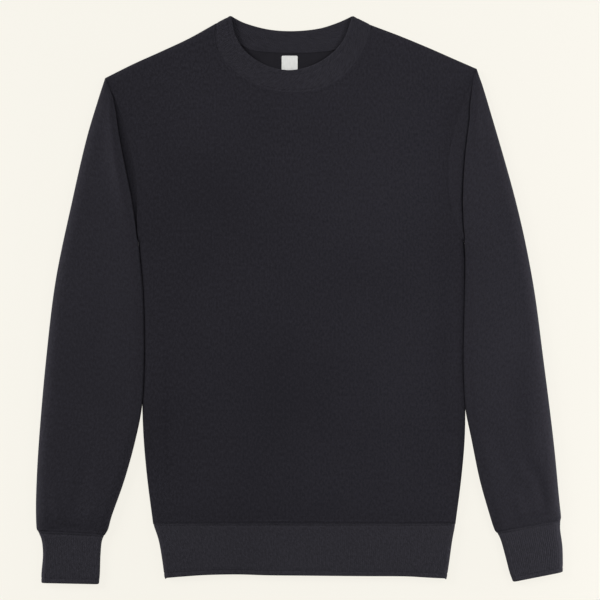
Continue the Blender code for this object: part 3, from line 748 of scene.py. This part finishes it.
def panel(name, neck_seam, is_front, creases):
    sides = [curve([(row[column], row[0]) for row in BODY_SIDES]) for column in (1, 2)]
    armholes = curve(ARMHOLE_RIGHT), curve(ARMHOLE_LEFT)
    shoulders = curve(SHOULDER_RIGHT), curve(SHOULDER_LEFT)
    neck = curve(neck_seam)
    grid, butted = panel_plan(neck, sides, armholes, shoulders)
    present = ~np.isnan(grid[..., 0])
    ids = np.where(present, np.cumsum(present).reshape(present.shape) - 1, -1)
    plan = grid[present]

    fold = distance_to(plan, *sides, *shoulders)
    lift = quarter_turn(fold, BODY_FOLD)
    hem = np.abs(plan[:, 1] - sides[0][0, 1])
    if is_front:
        arm_away = distance_to(plan, *armholes)
        middle = BODY_LOFT / 2 + SIDE_GAP
        face = BODY_LOFT + BODY_CROWN * swelling(np.minimum(hem, arm_away), CROWN_REACH)
        face += creased(plan, creases) + sewn(distance_to(plan, neck), NECK_PULL, (NECK_ROW,))
        face += sewn(arm_away, ARM_PULL, STITCH_ROWS) + above_band(hem, plan[:, 0])
        height = middle + (face - middle) * lift
    else:
        height = (BODY_LOFT / 2 - SIDE_GAP) * (1.0 - lift) + creased(plan, creases) * lift
    return cloth(name, np.column_stack((plan, height)), ids, np.nan_to_num(grid), butted[present],
                 fold > LEVEL_FROM * BODY_FOLD, FLEECE, (body_jersey_painted_shade, nap_in_painted_shade), not is_front)


front = panel("front_panel", NECK_SEAM_FRONT, True, FRONT_CREASES)
back = panel("back_panel", NECK_SEAM_BACK, False, BACK_CREASES)
in_place(front, "front")
in_place(back, "back")

# %% [markdown]
# ## Sleeves
# A sleeve is a flattened tube.  Down to the underarm it is open: its upper layer is sewn to the
# front and its lower layer to the back.  Laid flat, the spare cloth of the cap folds into a
# deep crease beside the armhole seam, and the sleeve stands up beside it like a low wall.  On
# the wearer's left the cloth stays level right up to a sharp crease.  On the right it drops at
# the seam and the sleeve rolls into the crease slowly, which leaves a dark wedge between them.

# %% Creases of the sleeves
# points of the crease's line, half width, height
SLEEVE_CREASES_RIGHT = (
    (((-240, 262), (-234, 240), (-231, 212), (-227, 181), (-221, 144), (-213, 100)), 11, 4.6),
    (((-262, 190), (-262, 120), (-256, 40)), 18, -0.5),
    (((-238, 60), (-246, -40), (-252, -120)), 16, -0.7),
    (((-300, -40), (-304, -130), (-306, -220)), 14, 0.6),
    (((-262, -180), (-272, -230), (-284, -280)), 9, -0.8),
    (((-318, -274), (-292, -283), (-260, -285)), 5, -0.9),
    (((-310, -230), (-304, -260), (-300, -286)), 6, 0.6),
    (((-250, -250), (-262, -268), (-268, -286)), 6, 0.6),
)
SLEEVE_CREASES_LEFT = (
    (((221, 282), (222, 262), (221, 240), (222, 215), (226, 180)), 7, 1.6),
    (((244, 190), (250, 120), (254, 30)), 18, -0.4),
    (((262, 40), (270, -60), (276, -150)), 22, -0.6),
    (((284, -60), (292, -160), (300, -240)), 13, 1.5),
    (((240, -150), (256, -200), (276, -250)), 12, -0.7),
    (((282, -196), (288, -215), (297, -224)), 6, -0.9),
    (((290, -196), (303, -240), (306, -270)), 6, -1.2),
    (((260, -276), (280, -275), (306, -268)), 5, -0.8),
    (((270, -240), (276, -262), (284, -284)), 6, 0.6),
)

# %% The crease beside the armhole
FLOOR_RIGHT, FLOOR_LEFT = 3.3, 4.6        # height of the crease's floor above the table
DEEPENS_RIGHT, DEEPENS_LEFT = 1.8, 1.35   # 1 over the share of the armhole where it's at its deepest
WALL_RIGHT, WALL_LEFT = 13.0, 7.0         # how far the sleeve takes to rise out of it
# how far from the seam the crease lies: share of the seam's length, distance
CREASE_RIGHT = (
    (0.0, 0.8), (0.12, 3.0), (0.21, 6.8), (0.33, 11.9), (0.45, 14.3), (0.58, 13.8),
    (0.70, 11.0), (0.82, 5.6), (0.90, 2.0), (1.0, 0.6),
)
CREASE_LEFT = (
    (0.0, 1.5), (0.12, 9.2), (0.21, 15.8), (0.30, 18.6), (0.44, 21.8), (0.55, 22.0),
    (0.64, 21.0), (0.75, 18.2), (0.85, 12.6), (0.93, 6.2), (1.0, 1.2),
)
VALLEY = np.array((0.0, 0.10, 0.28, 0.52, 0.75, 0.86, 0.94, 1.0))      # places from seam to crease
BED_RIGHT = np.array((0.0, 0.45, 0.66, 0.73, 0.75, 0.77, 0.83, 1.0))   # and the depth there
BED_LEFT = np.array((0.0, 0.02, 0.05, 0.10, 0.18, 0.28, 0.50, 1.0))
WALL = np.array((0.03, 0.06, 0.10, 0.16, 0.25, 0.37, 0.53, 0.74, 1.0))  # places up the wall
# angles of a closed section's inner fold: as many places as an open one has up to its wall's top
CLOSED_TURN = np.radians((*np.linspace(0.0, 20.0, len(VALLEY)), *np.linspace(20.0, 90.0, len(WALL) + 1)[1:]))
print("The creases lie up to", max(away for _, away in CREASE_LEFT + CREASE_RIGHT), "mm from their seams")

# %% [markdown]
# The sleeve is laid out in sections, from the armhole or the inner fold straight across to the
# outer fold.  Each section goes out over the upper layer and comes back under the lower one.  A
# section beside the armhole is open, and drops from the seam into the crease before it rises to
# the sleeve's full height.  One below the underarm is closed, and rolls over at both folds.

# %% One section of a sleeve
ARM_CROWN = 4.0            # how far the sleeve swells above its loft
ARM_COLUMNS = 24
FOLD_SHARE = 0.35          # the outer fold takes no more than this share of a narrow section
NEAR_SHARE = 0.7           # and crease and wall no more than this share of the rest
SHORT_WALL = 0.3           # share of its length that the wall has at the shoulder point


def sleeve_section(width, start, valley, floor, bed, wall, loft, opened, slant):
    """Distances and heights round one section: the upper layer out from the body, then the
    lower layer back.  start: share of its full depth that the crease has; valley: distance of the
    crease from the seam; bed: depths down to it; wall: how far the sleeve takes to rise again,
    from the crease or from the inner fold; slant: how square the section is to the outer fold."""
    radius = loft / 2
    fold = min(ARM_FOLD, FOLD_SHARE * width * slant)
    if opened:
        wall = wall * (SHORT_WALL + (1.0 - SHORT_WALL) * start)
        near = np.concatenate((valley * VALLEY, valley + wall * WALL))
    else:
        near = wall * (1.0 - np.cos(CLOSED_TURN))
    near = near * min(1.0, NEAR_SHARE * (width - fold / slant) / near[-1])
    far = width - fold / slant * (1.0 - np.cos(TURN))[::-1]
    top = np.concatenate((near, np.linspace(near[-1], far[0], ARM_COLUMNS + 1)[1:-1], far))
    turned = quarter_turn(np.maximum((width - top) * slant, 0.0), fold)
    high = radius + (loft + ARM_CROWN * start - radius) * turned
    crease, base = 0.0, np.full(len(top), radius)
    if opened:
        crease = near[len(VALLEY) - 1]
        base[:] = BODY_LOFT - (BODY_LOFT - floor) * start
        base[:len(VALLEY)] = BODY_LOFT - (BODY_LOFT - base[-1]) * bed
    risen = quarter_turn(np.maximum(top - crease, 0.0), near[-1] - crease)
    high = base + (high - base) * risen
    inner = near[-1] * (1.0 - np.cos(TURN))
    under = np.concatenate((far[-2::-1], np.linspace(far[0], near[-1], ARM_COLUMNS)[1:-1], inner[::-1]))
    low = 1.0 - quarter_turn((width - under) * slant, fold)
    if not opened:
        low = np.maximum(low, 1.0 - quarter_turn(under, near[-1]))
    around = np.concatenate((top, under))
    folded = (width - around) * slant < LEVEL_FROM * fold
    folded |= (around < LEVEL_FROM * near[-1]) & (not opened)
    return around, np.concatenate((high, radius * low)), ~folded, risen


# %% Where the sections lie
CAP_ROWS, ARM_ROWS = 58, 96
CAP_TIP = 16.0             # first section starts this far below the shoulder point
CAP_OUTER = 192.0          # outer fold's run beside the armhole
SIDE_PRESS = 0.5           # how far a sleeve's nap is pressed into the body's beside it
PRESS_EASE = 40.0          # how far below the underarm the two come to press on each other


def sleeve_lines(seam, inner_fold, outer_fold, side):
    """Where each section starts and stops, down the armhole and then down the arm: its share of
    the seam's length, how far it is below the underarm, and how square it is to the outer fold."""
    pressed = SIDE_PRESS * swelling(lengths(inner_fold), PRESS_EASE)
    inner_fold = shifted(inner_fold, -side * pressed[:, None])
    seam_length, inner_length, outer_length = (lengths(path)[-1] for path in (seam, inner_fold, outer_fold))
    cap = np.append(np.linspace(CAP_TIP, seam_length - ARM_LOFT / 2, CAP_ROWS), seam_length)
    at_cuff = 1.0 - SEAM_STEPS[::-1] / inner_length
    arm = np.concatenate((np.linspace(0.0, at_cuff[0], ARM_ROWS)[1:-1], at_cuff))
    outer_run = (np.linspace(0.0, CAP_OUTER, len(cap)), CAP_OUTER + arm * (outer_length - CAP_OUTER))
    starts = np.vstack((at(seam, cap), at(inner_fold, arm * inner_length)))
    stops = at(outer_fold, np.concatenate(outer_run))
    share = np.concatenate((cap / seam_length, np.ones(len(arm))))
    below = np.concatenate((np.zeros(len(cap)), arm * inner_length))
    way, along = unit(stops - starts), unit(np.gradient(stops, axis=0))
    return starts, stops, share, below, np.abs(way[:, 0] * along[:, 1] - way[:, 1] * along[:, 0])


# %% [markdown]
# The sections of a sleeve then become one grid of points.  Where the crease is deep its cloth is
# pressed thinner.  Above the cuff the sleeve falls to the seam, and creases are added where the
# cloth has risen clear of the folds.

# %% The two sleeves
WALL_EASE = 60.0           # how far below the underarm the inner fold takes to round out
CUFF_EASE = 13.0           # how far above its cuff the sleeve starts to fall to the seam
LOFT_SHARE = 0.25          # the sleeve has its full height after this share of the armhole
CREASE_PINCH = 1.5         # how much thinner the cloth is pressed in the crease
PINCH_FROM, PINCH_FULL = 6.2, 4.8     # heights where that starts and where it is complete
SHOULDER_SEAM_DEPTH = 0.3  # how far the sleeve sinks at the armhole's seam


def sleeve(name, side, outlines, crease, creases):
    """side: -1 for the wearer's right, 1 for the left; outlines: armhole, inner and outer fold;
    crease: of the big one the line, the floor, how soon it deepens, its bed and its wall."""
    seam, inner_fold, outer_fold = (curve(outline) for outline in outlines)
    line, floor, deepens, bed, wall = crease
    line = curve(line)
    starts, stops, share, below, slant = sleeve_lines(seam, inner_fold, outer_fold, side)
    is_open = np.arange(len(starts)) < CAP_ROWS
    walls = wall + (ARM_FOLD - wall) * swelling(below, WALL_EASE)
    down = lengths((starts + stops) / 2)
    sections = []
    for row, (start, stop) in enumerate(zip(starts, stops)):
        width = np.linalg.norm(stop - start)
        loft = BODY_LOFT + (ARM_LOFT - BODY_LOFT) * min(1.0, share[row] / LOFT_SHARE)
        around, height, level, risen = sleeve_section(
            width, min(1.0, deepens * share[row]), np.interp(share[row], *line.T), floor, bed,
            walls[row], loft, is_open[row], slant[row])
        plan = start + around[:, None] * (stop - start) / width
        if row == 0:
            plan = at(seam, CAP_TIP * (1.0 - around / width))
        cut = np.where(np.arange(len(around)) < len(risen), around, 2 * width - around)
        flat = np.column_stack((cut, np.full(len(cut), -down[row])))
        sections.append((np.column_stack((plan, height)), flat, level, risen))
    points, flat, level, risen = (np.array(part) for part in zip(*sections))

    upper = risen.shape[1]
    pinch = CREASE_PINCH * np.clip((PINCH_FROM - points[..., 2]) / (PINCH_FROM - PINCH_FULL), 0.0, 1.0)
    pinch[~is_open] = 0.0
    pinch[:, upper:] = 0.0
    plan = points[:, :upper, :2]
    clear = quarter_turn(distance_to(plan, outer_fold), ARM_FOLD) * risen
    to_cuff = distance_to(plan, np.array((starts[-1], stops[-1])))
    falls = ARM_CROWN * (1.0 - swelling(to_cuff, CUFF_EASE))
    points[:, :upper, 2] += clear * (creased(plan, creases) + above_band(to_cuff, plan[..., 0]) - falls)
    sunk = SHOULDER_SEAM_DEPTH * groove(distance_to(plan[is_open], seam), STITCH_HALF_WIDTH)
    points[is_open, :upper, 2] -= sunk

    rows, columns = points.shape[:2]
    ids = np.arange(rows * columns).reshape(rows, columns)
    ids[~is_open, -1] = ids[~is_open, 0]
    butted = np.zeros((rows, columns), bool)
    butted[[0, -1]] = True
    butted[is_open, 0] = True
    butted[is_open, -1] = True
    # the closed sections name their first point twice, so their last one is dropped
    kept = np.unique(ids)
    ids = np.searchsorted(kept, ids)
    return cloth(name, points.reshape(-1, 3)[kept], ids, flat, butted.ravel()[kept], level.ravel()[kept],
                 FLEECE, (jersey, nap_in_painted_shade), side < 0, 0.0, -pinch.ravel()[kept])


right_sleeve = sleeve(
    "right_sleeve", -1, (ARMHOLE_RIGHT, INNER_FOLD_RIGHT, OUTER_FOLD_RIGHT),
    (CREASE_RIGHT, FLOOR_RIGHT, DEEPENS_RIGHT, BED_RIGHT, WALL_RIGHT), SLEEVE_CREASES_RIGHT)
left_sleeve = sleeve(
    "left_sleeve", 1, (ARMHOLE_LEFT, INNER_FOLD_LEFT, OUTER_FOLD_LEFT),
    (CREASE_LEFT, FLOOR_LEFT, DEEPENS_LEFT, BED_LEFT, WALL_LEFT), SLEEVE_CREASES_LEFT)
in_place(right_sleeve, "sleeve_right")
in_place(left_sleeve, "sleeve_left")

# %% [markdown]
# ## Rib bands
# Neckband, cuffs and hem band are rib: ridges of knit that spring together, sewn on double so
# that the open edge is a soft fold.  Each is a flattened ring.  Four columns of points make one
# ridge, the face sinks into the seam at one end, and both faces close round the fold at the other.

# %% Rib
RIB_PITCH = 2.6              # one ridge and one furrow: real ones are finer, and wouldn't show
RIB_HEIGHT = 0.32
RIB_PROFILE = np.array((0.0, 0.5, 1.0, 0.5))
RIB_FROM_SEAM, RIB_FROM_END = 3.0, 2.2   # how far from a band's seam and end the ridges rise
PRESSED_FOLD = 6.0           # a faint line this far above the open end, where the rib is pressed double
PRESSED_DEPTH, PRESSED_HALF_WIDTH = 0.45, 0.9
PRESS_MARGIN = 2.0           # the rows crowd together from this far above it
PRESS_STEPS = np.array((-1.5, -0.9, -0.4, 0.0, 0.4, 0.9, 1.5))
CLOSING = 0.97               # how nearly both faces meet round the fold at the end
BAND_ROWS = 18
print("Ridges across the hem, laid flat:", round((HEM_BAND[0][2] - HEM_BAND[0][0]) / RIB_PITCH))


def band_rows(length):
    """Distances down a band: crowded at its seam, its pressed line and its folded edge."""
    fold = RIB_WALL / 2 * (1.0 - np.cos(TURN[::-1]))
    middle = np.linspace(SEAM_STEPS[5], length - PRESSED_FOLD - PRESS_MARGIN, BAND_ROWS)[1:-1]
    return np.concatenate((SEAM_STEPS[:6], middle, length - PRESSED_FOLD + PRESS_STEPS, length - fold))


def ring(name, front, back, folds, levels, down, length, flip, finish, ribbed_inside=0.0, far_fold=BAND_FOLD):
    """A flattened ring of rib.  front, back: plan points of its two layers, row by row, which
    share their first and last points; folds: its two sides; levels: height of each row; down:
    distances of the rows from the seam; ribbed_inside: height of the ridges on the inner face;
    far_fold: how far from the second side the cloth bends over."""
    radius = BAND_LOFT / 2
    front_fold, back_fold = (
        np.minimum(distance_to(layer, folds[0]), distance_to(layer, folds[1]) * BAND_FOLD / far_fold)
        for layer in (front, back))
    front_height = radius + (levels[:, None] - radius) * quarter_turn(front_fold, BAND_FOLD)
    back_height = radius * (1.0 - quarter_turn(back_fold, BAND_FOLD))
    front_points, back_points = np.dstack((front, front_height)), np.dstack((back, back_height))
    around = np.hstack((front_points, back_points[:, -2:0:-1]))
    level = np.hstack((front_fold, back_fold[:, -2:0:-1])) > LEVEL_FROM * BAND_FOLD

    shown = front.shape[1]
    to_end = length - down
    closing = RIB_WALL / 2 * (1.0 - quarter_turn(to_end, RIB_WALL / 2)) * CLOSING
    pressed = (swelling(down, RIB_FROM_SEAM) * swelling(to_end, RIB_FROM_END))[:, None]
    raised = np.zeros(around.shape[:2]) - closing[:, None]
    lowered = raised.copy()
    ridges = RIB_HEIGHT * pressed * RIB_PROFILE[np.arange(shown) % 4]
    raised[:, :shown] += ridges * quarter_turn(front_fold, BAND_FOLD)
    raised[:, :shown] += below_seam(down[:, None], front[..., 0])
    raised[:, :shown] -= PRESSED_DEPTH * groove(to_end - PRESSED_FOLD, PRESSED_HALF_WIDTH)[:, None]
    hidden = np.arange(around.shape[1] - shown) % 4
    lowered[:, shown:] += ribbed_inside * pressed * RIB_PROFILE[hidden]

    rows, columns = around.shape[:2]
    ids = np.arange(rows * columns).reshape(rows, columns)
    ids = np.hstack((ids, ids[:, :1]))
    run = np.linalg.norm(np.diff(np.hstack((around, around[:, :1])), axis=1), axis=2)
    run = np.hstack((np.zeros((rows, 1)), np.cumsum(run, axis=1)))
    flat = np.dstack((run, np.broadcast_to(-down[:, None], run.shape)))
    butted = np.zeros((rows, columns), bool)
    butted[[0, -1]] = True
    return cloth(name, around.reshape(-1, 3), ids, flat, butted.ravel(), level.ravel(), RIB_WALL,
                 (finish,), flip, raised.ravel(), lowered.ravel())


# %% [markdown]
# The cuffs and the hem band are straight rings between two folds.  The hem's lower edge isn't
# quite straight: it rises a few millimetres between its corners.

# %% Cuffs and hem band
BAND_SINK, SINK_REACH = 0.9, 4.0    # how far a band's face falls away from its seam, and how soon
LOOSE_FOLD = 10.0            # the left cuff bends over more gently at its outer side


def straight_band(name, sections, rise, flip, far_fold=BAND_FOLD):
    """Hem band or cuff.  sections: both folds' x, y from the seam to the open end; rise: how far
    the open end rises between its corners, by share of its width."""
    sections = np.array(sections)
    start, stop = curve(sections[:, :2]), curve(sections[:, 2:])
    length = (lengths(start)[-1] + lengths(stop)[-1]) / 2
    down = band_rows(length)
    share = down / length
    starts, stops = (at(path, share * lengths(path)[-1]) for path in (start, stop))
    width = np.linalg.norm(stops[-1] - starts[-1])
    layers = []
    for columns_each in (4, 2):
        place = across(1.0, columns_each * round(width / RIB_PITCH), BAND_FOLD / width)
        layer = starts[:, None] + (stops - starts)[:, None] * place[:, None]
        layer[..., 1] += share[:, None] * np.interp(place, *curve(rise).T)
        layers.append(layer)
    levels = BAND_LOFT - BAND_SINK * (1.0 - np.exp(-down / SINK_REACH))
    return ring(name, *layers, (starts, stops), levels, down, length, flip, rib_knit, far_fold=far_fold)


right_cuff = straight_band("right_cuff", CUFF_RIGHT, FLAT_END, True)
left_cuff = straight_band("left_cuff", CUFF_LEFT, FLAT_END, False, LOOSE_FOLD)
hem = straight_band("hem_rib", HEM_BAND, HEM_RISE, False)
in_place(right_cuff, "cuff_right")
in_place(left_cuff, "cuff_left")
in_place(hem, "hem_band")

# %% [markdown]
# ## Neckband
# The neckband is a ring too, but its front half hangs lower than its back half, so the two
# layers run along their own curves.  The front half rests on the back of the garment, and its
# edge throws the dark line inside the neck.  Through the opening the back half shows from
# inside, so there its inner face is ribbed as well.

# %% Neckband
NECKBAND_DEPTH = 25.0        # from its seam to its edge
NECKBAND_SLOPE = 0.4         # how far its front sinks from its seam to its edge
FRONT_LENGTH, BACK_LENGTH = 275.0, 185.0   # of its front and back half, for the number of ridges
INSIDE_RIB = 0.2             # height of the ridges seen through the neck opening
CORNER_REACH = 3.0           # how far below its seam its sides keep clear of the shoulder folds


def neckband(name):
    down = band_rows(NECKBAND_DEPTH)
    share = down / NECKBAND_DEPTH
    layers = []
    for seam, edge, length in (
            (NECK_SEAM_FRONT, NECK_EDGE_FRONT, FRONT_LENGTH), (NECK_SEAM_BACK, NECK_EDGE_BACK, BACK_LENGTH)):
        ends = []
        for path in (curve(seam), curve(edge)):
            run = lengths(path)[-1]
            ends.append(at(path, across(1.0, 4 * round(length / RIB_PITCH), BAND_FOLD / run) * run))
        layers.append(ends[0] + (ends[1] - ends[0]) * share[:, None, None])
    front_layer, back_layer = layers
    corners = front_layer[:, [0, -1]]
    towards_edge = unit(corners[[-1]] - corners[[0]])
    corners = corners + CORNER_GAP * groove(down, CORNER_REACH)[:, None, None] * towards_edge
    front_layer[:, [0, -1]] = corners
    back_layer[:, [0, -1]] = corners
    levels = BAND_LOFT - NECKBAND_SLOPE * share
    return ring(name, front_layer, back_layer, (corners[:, 0], corners[:, 1]), levels, down,
                NECKBAND_DEPTH, True, collar_knit_painted_shade, INSIDE_RIB)


collar = neckband("neck_rib")
in_place(collar, "neckband")

# %% [markdown]
# ## The woven label
# Inside the back neck sits a small label, woven from fine white threads and folded in at its
# ends.  It is modelled as a sheet: a plane cut to size, its corners rounded, a selvedge inset
# along its edge, and a thin wall from a Solidify modifier.  Its face is left bare.

# %% Label
LABEL_PLACE = (-12.4, 291.1)          # middle of the label
LABEL_WIDTH, LABEL_LENGTH, LABEL_CORNER = 20.0, 30.0, 1.4
LABEL_WALL, LABEL_UNDER = 0.5, 2.8    # its own wall, and the height of its underside
SELVEDGE = 1.1                        # width of the firm edge
SELVEDGE_STEP, FACE_SUNK = 0.25, 0.12  # the face inside it lies a little lower

bpy.ops.object.select_all(action="DESELECT")
bpy.ops.mesh.primitive_plane_add(size=1.0)
label = bpy.context.object
label.name = "woven_label"
bpy.ops.transform.resize(value=(LABEL_WIDTH * MM, LABEL_LENGTH * MM, 1.0))
bpy.ops.transform.translate(value=Vector((*LABEL_PLACE, LABEL_UNDER + LABEL_WALL)) * MM)
bpy.ops.object.transform_apply(location=True, rotation=True, scale=True)
bpy.ops.object.mode_set(mode="EDIT")
bpy.ops.mesh.select_all(action="SELECT")
bpy.ops.mesh.bevel(offset=LABEL_CORNER * MM, segments=6, affect="VERTICES")
bpy.ops.mesh.inset(thickness=SELVEDGE * MM)
bpy.ops.mesh.inset(thickness=SELVEDGE_STEP * MM, depth=-FACE_SUNK * MM)
bpy.ops.object.mode_set(mode="OBJECT")
wall = label.modifiers.new("woven wall", "SOLIDIFY")
wall.thickness = LABEL_WALL * MM
wall.offset = -1.0
print("The label is", [round(1000 * side, 1) for side in label.dimensions], "mm")

# %% [markdown]
# White satin tape is woven so tightly that it looks smooth, with a faint crosswise grain from
# its weft threads and a soft shine along them.

# %% White woven tape
TAPE_GRAIN = 0.9              # drawn three times as wide as real weft threads, in millimetres
TAPE_THREAD = (1.11, 6.25)    # a paler or darker stretch of warp: its width and length
WAVES = 20.0                  # a wave texture of scale 2 pi repeats this often in a metre
tape, tree, shader = new_finish("white woven tape", {"Roughness": 0.55, "Sheen Weight": 0.15})
place = add_node(tree, "TexCoord", output="Object")
weft = add_node(tree, "TexWave", {"bands_direction": "Y", "Scale": 2 * np.pi * per_metre(TAPE_GRAIN) / WAVES,
                                  "Distortion": 0.6, "Detail": 1.0}, {"Vector": place}, "Fac")
warp = add_node(tree, "Mapping", {"Scale": (*map(per_metre, TAPE_THREAD), 1.0)}, {"Vector": place})
warp = add_node(tree, "TexNoise", {"Scale": 1.0, "Detail": 2.0}, {"Vector": warp})
lead_in(shader, ("C8C8C5", "E2E2DF"), warp, weft, 0.4, 0.08)
label.data.materials.append(tape)
in_place(label, "neck_label")
print("Finish:", tape.name)

# %% [markdown]
# ## Stitches
# The seams are topstitched in the cloth's own colour: two rows beside each armhole, one on each
# side of the hem's and the cuffs' seams, and one below the neckband.  One stitch is modelled: a
# short hexagonal piece of thread whose ends are drawn thinner and dip into the cloth.  Then it is
# copied along every row, at the height where the cloth really is: a ray sent down at each end of
# a stitch finds the cloth, so the stitch leans the way the cloth does.

# %% One stitch
STITCH, THREAD = 2.6, 0.5     # length and width, in millimetres
STITCH_STEP = 3.4             # from one stitch to the next
THREAD_RISE = 0.04            # how far the thread's middle line lies above the cloth
DIP, TAPER = 0.6, 0.5         # how far its ends dip and how thin they are, as shares of its width

bpy.ops.object.select_all(action="DESELECT")
bpy.ops.mesh.primitive_cylinder_add(vertices=6, radius=THREAD / 2 * MM, depth=STITCH / 2 * MM,
                                    rotation=(0.0, np.pi / 2, 0.0))
stitch = bpy.context.object
stitch.name = "one_stitch"
bpy.ops.object.transform_apply(rotation=True)
bpy.ops.object.mode_set(mode="EDIT")
bpy.ops.mesh.select_mode(type="FACE")
for end in (-1, 1):
    bpy.ops.mesh.select_all(action="DESELECT")
    bpy.ops.object.mode_set(mode="OBJECT")
    for face in stitch.data.polygons:
        face.select = face.normal.x * end > 0.9
    bpy.ops.object.mode_set(mode="EDIT")
    bpy.ops.mesh.extrude_region_move(
        TRANSFORM_OT_translate={"value": (end * STITCH / 4 * MM, 0.0, -THREAD * DIP * MM)})
    bpy.ops.transform.resize(value=(1.0, TAPER, TAPER))
bpy.ops.object.mode_set(mode="OBJECT")
print("One stitch has", len(stitch.data.polygons), "faces and measures",
      [round(1000 * side, 2) for side in stitch.dimensions], "mm")
STITCH_POINTS = np.array([corner.co for corner in stitch.data.vertices])
STITCH_FACES = [list(face.vertices) for face in stitch.data.polygons]
bpy.data.objects.remove(stitch)

# %% [markdown]
# Sewing thread is spun from a few plies that twist round each other, which gives its matt surface
# a fine unevenness.  One noise, as fine as the plies, both darkens the thread and dents it.

# %% Thread
PLY = 0.625                   # size of the unevenness, in millimetres
thread, tree, shader = new_finish("charcoal sewing thread", {"Roughness": 0.9, "Specular IOR Level": 0.06})
place = add_node(tree, "TexCoord", output="Object")
twist = add_node(tree, "TexNoise", {"Scale": per_metre(PLY), "Detail": 2.0}, {"Vector": place})
lead_in(shader, ("1E1D22", "28272C"), twist, twist, 0.5, 0.1)
print("Finish:", thread.name)


# %% Rows of stitches
RAY_START = 0.05              # height in metres, well above the cloth


def stitch_row(path, cloths, upward):
    """Places of the stitches of one row: middles and both directions, found on the cloth.
    upward: 1 for the side that faces up, -1 for the side on the table."""
    run = lengths(path)[-1]
    count = int(run / STITCH_STEP)
    frames = []
    for middle in (np.arange(count) + 0.5) * run / count:
        ends = []
        for x, y in at(path, np.array((middle - STITCH / 2, middle + STITCH / 2))):
            for piece in cloths:
                hit, found, _, _ = piece.ray_cast((x * MM, y * MM, RAY_START * upward), (0.0, 0.0, -upward))
                if hit:
                    ends.append(np.array(found))
                    break
        if len(ends) == 2:
            frames.append(((ends[0] + ends[1]) / 2, unit(ends[1] - ends[0])))
    return frames


def stitched(name, rows, upward):
    """One mesh of all the stitches of some rows.  rows: path, pieces of cloth it crosses."""
    points, faces = [], []
    for path, cloths in rows:
        for middle, along in stitch_row(path, cloths, upward):
            aside = unit(np.cross((0.0, 0.0, float(upward)), along))
            rise = np.cross(along, aside)
            first = len(points) * len(STITCH_POINTS)
            faces += [[first + corner for corner in face] for face in STITCH_FACES]
            points.append(middle + STITCH_POINTS @ np.array((along, aside, rise)) + THREAD_RISE * MM * rise)
    mesh = bpy.data.meshes.new(name)
    mesh.from_pydata(np.vstack(points).tolist(), [], faces)
    mesh.shade_smooth()
    mesh.materials.append(thread)
    piece = bpy.data.objects.new(name, mesh)
    bpy.context.scene.collection.objects.link(piece)
    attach(piece, "root")
    print(name, "has", len(points), "stitches")


# %% [markdown]
# Front and back are stitched alike, so one loop sews both: seen from above for the front, and
# from below for the back.  Every row keeps a short distance from the folds at its ends.

# %% Stitches along the seams
END_GAP, BAND_END_GAP = 4.0, 1.5     # bare run at both ends of a row
ROW_POINTS = 160


def rows_beside(seam, distances, end_gap, cloths):
    """Rows of stitches beside a seam: their paths, without their ends, and the cloth they cross."""
    rows = []
    for distance in distances:
        row = shifted(seam, distance)
        run = lengths(row)[-1]
        rows.append((at(row, np.linspace(end_gap, run - end_gap, ROW_POINTS)), cloths))
    return rows


hem_seam, right_seam, left_seam = (
    np.array((band[0][:2], band[0][2:])) for band in (HEM_BAND, CUFF_RIGHT, CUFF_LEFT))
near, far = STITCH_ROWS
above, below = BAND_SEAM_ROWS
halves = (("front", 1, front, NECK_SEAM_FRONT), ("back", -1, back, NECK_SEAM_BACK))
for side, upward, shown, neck_seam in halves:
    rows = {
        "neck": rows_beside(curve(neck_seam), (-NECK_ROW,), END_GAP, [shown]),
        "armhole": rows_beside(curve(ARMHOLE_RIGHT), (near, far), END_GAP, [shown])
        + rows_beside(curve(ARMHOLE_LEFT), (-near, -far), END_GAP, [shown]),
        "hem": rows_beside(hem_seam, (above, -below), BAND_END_GAP, [shown, hem]),
        "cuff": rows_beside(right_seam, (-above, below), BAND_END_GAP, [right_sleeve, right_cuff])
        + rows_beside(left_seam, (above, -below), BAND_END_GAP, [left_sleeve, left_cuff]),
    }
    for seam, beside_it in rows.items():
        stitched(f"{seam}_stitches_{side}", beside_it, upward)
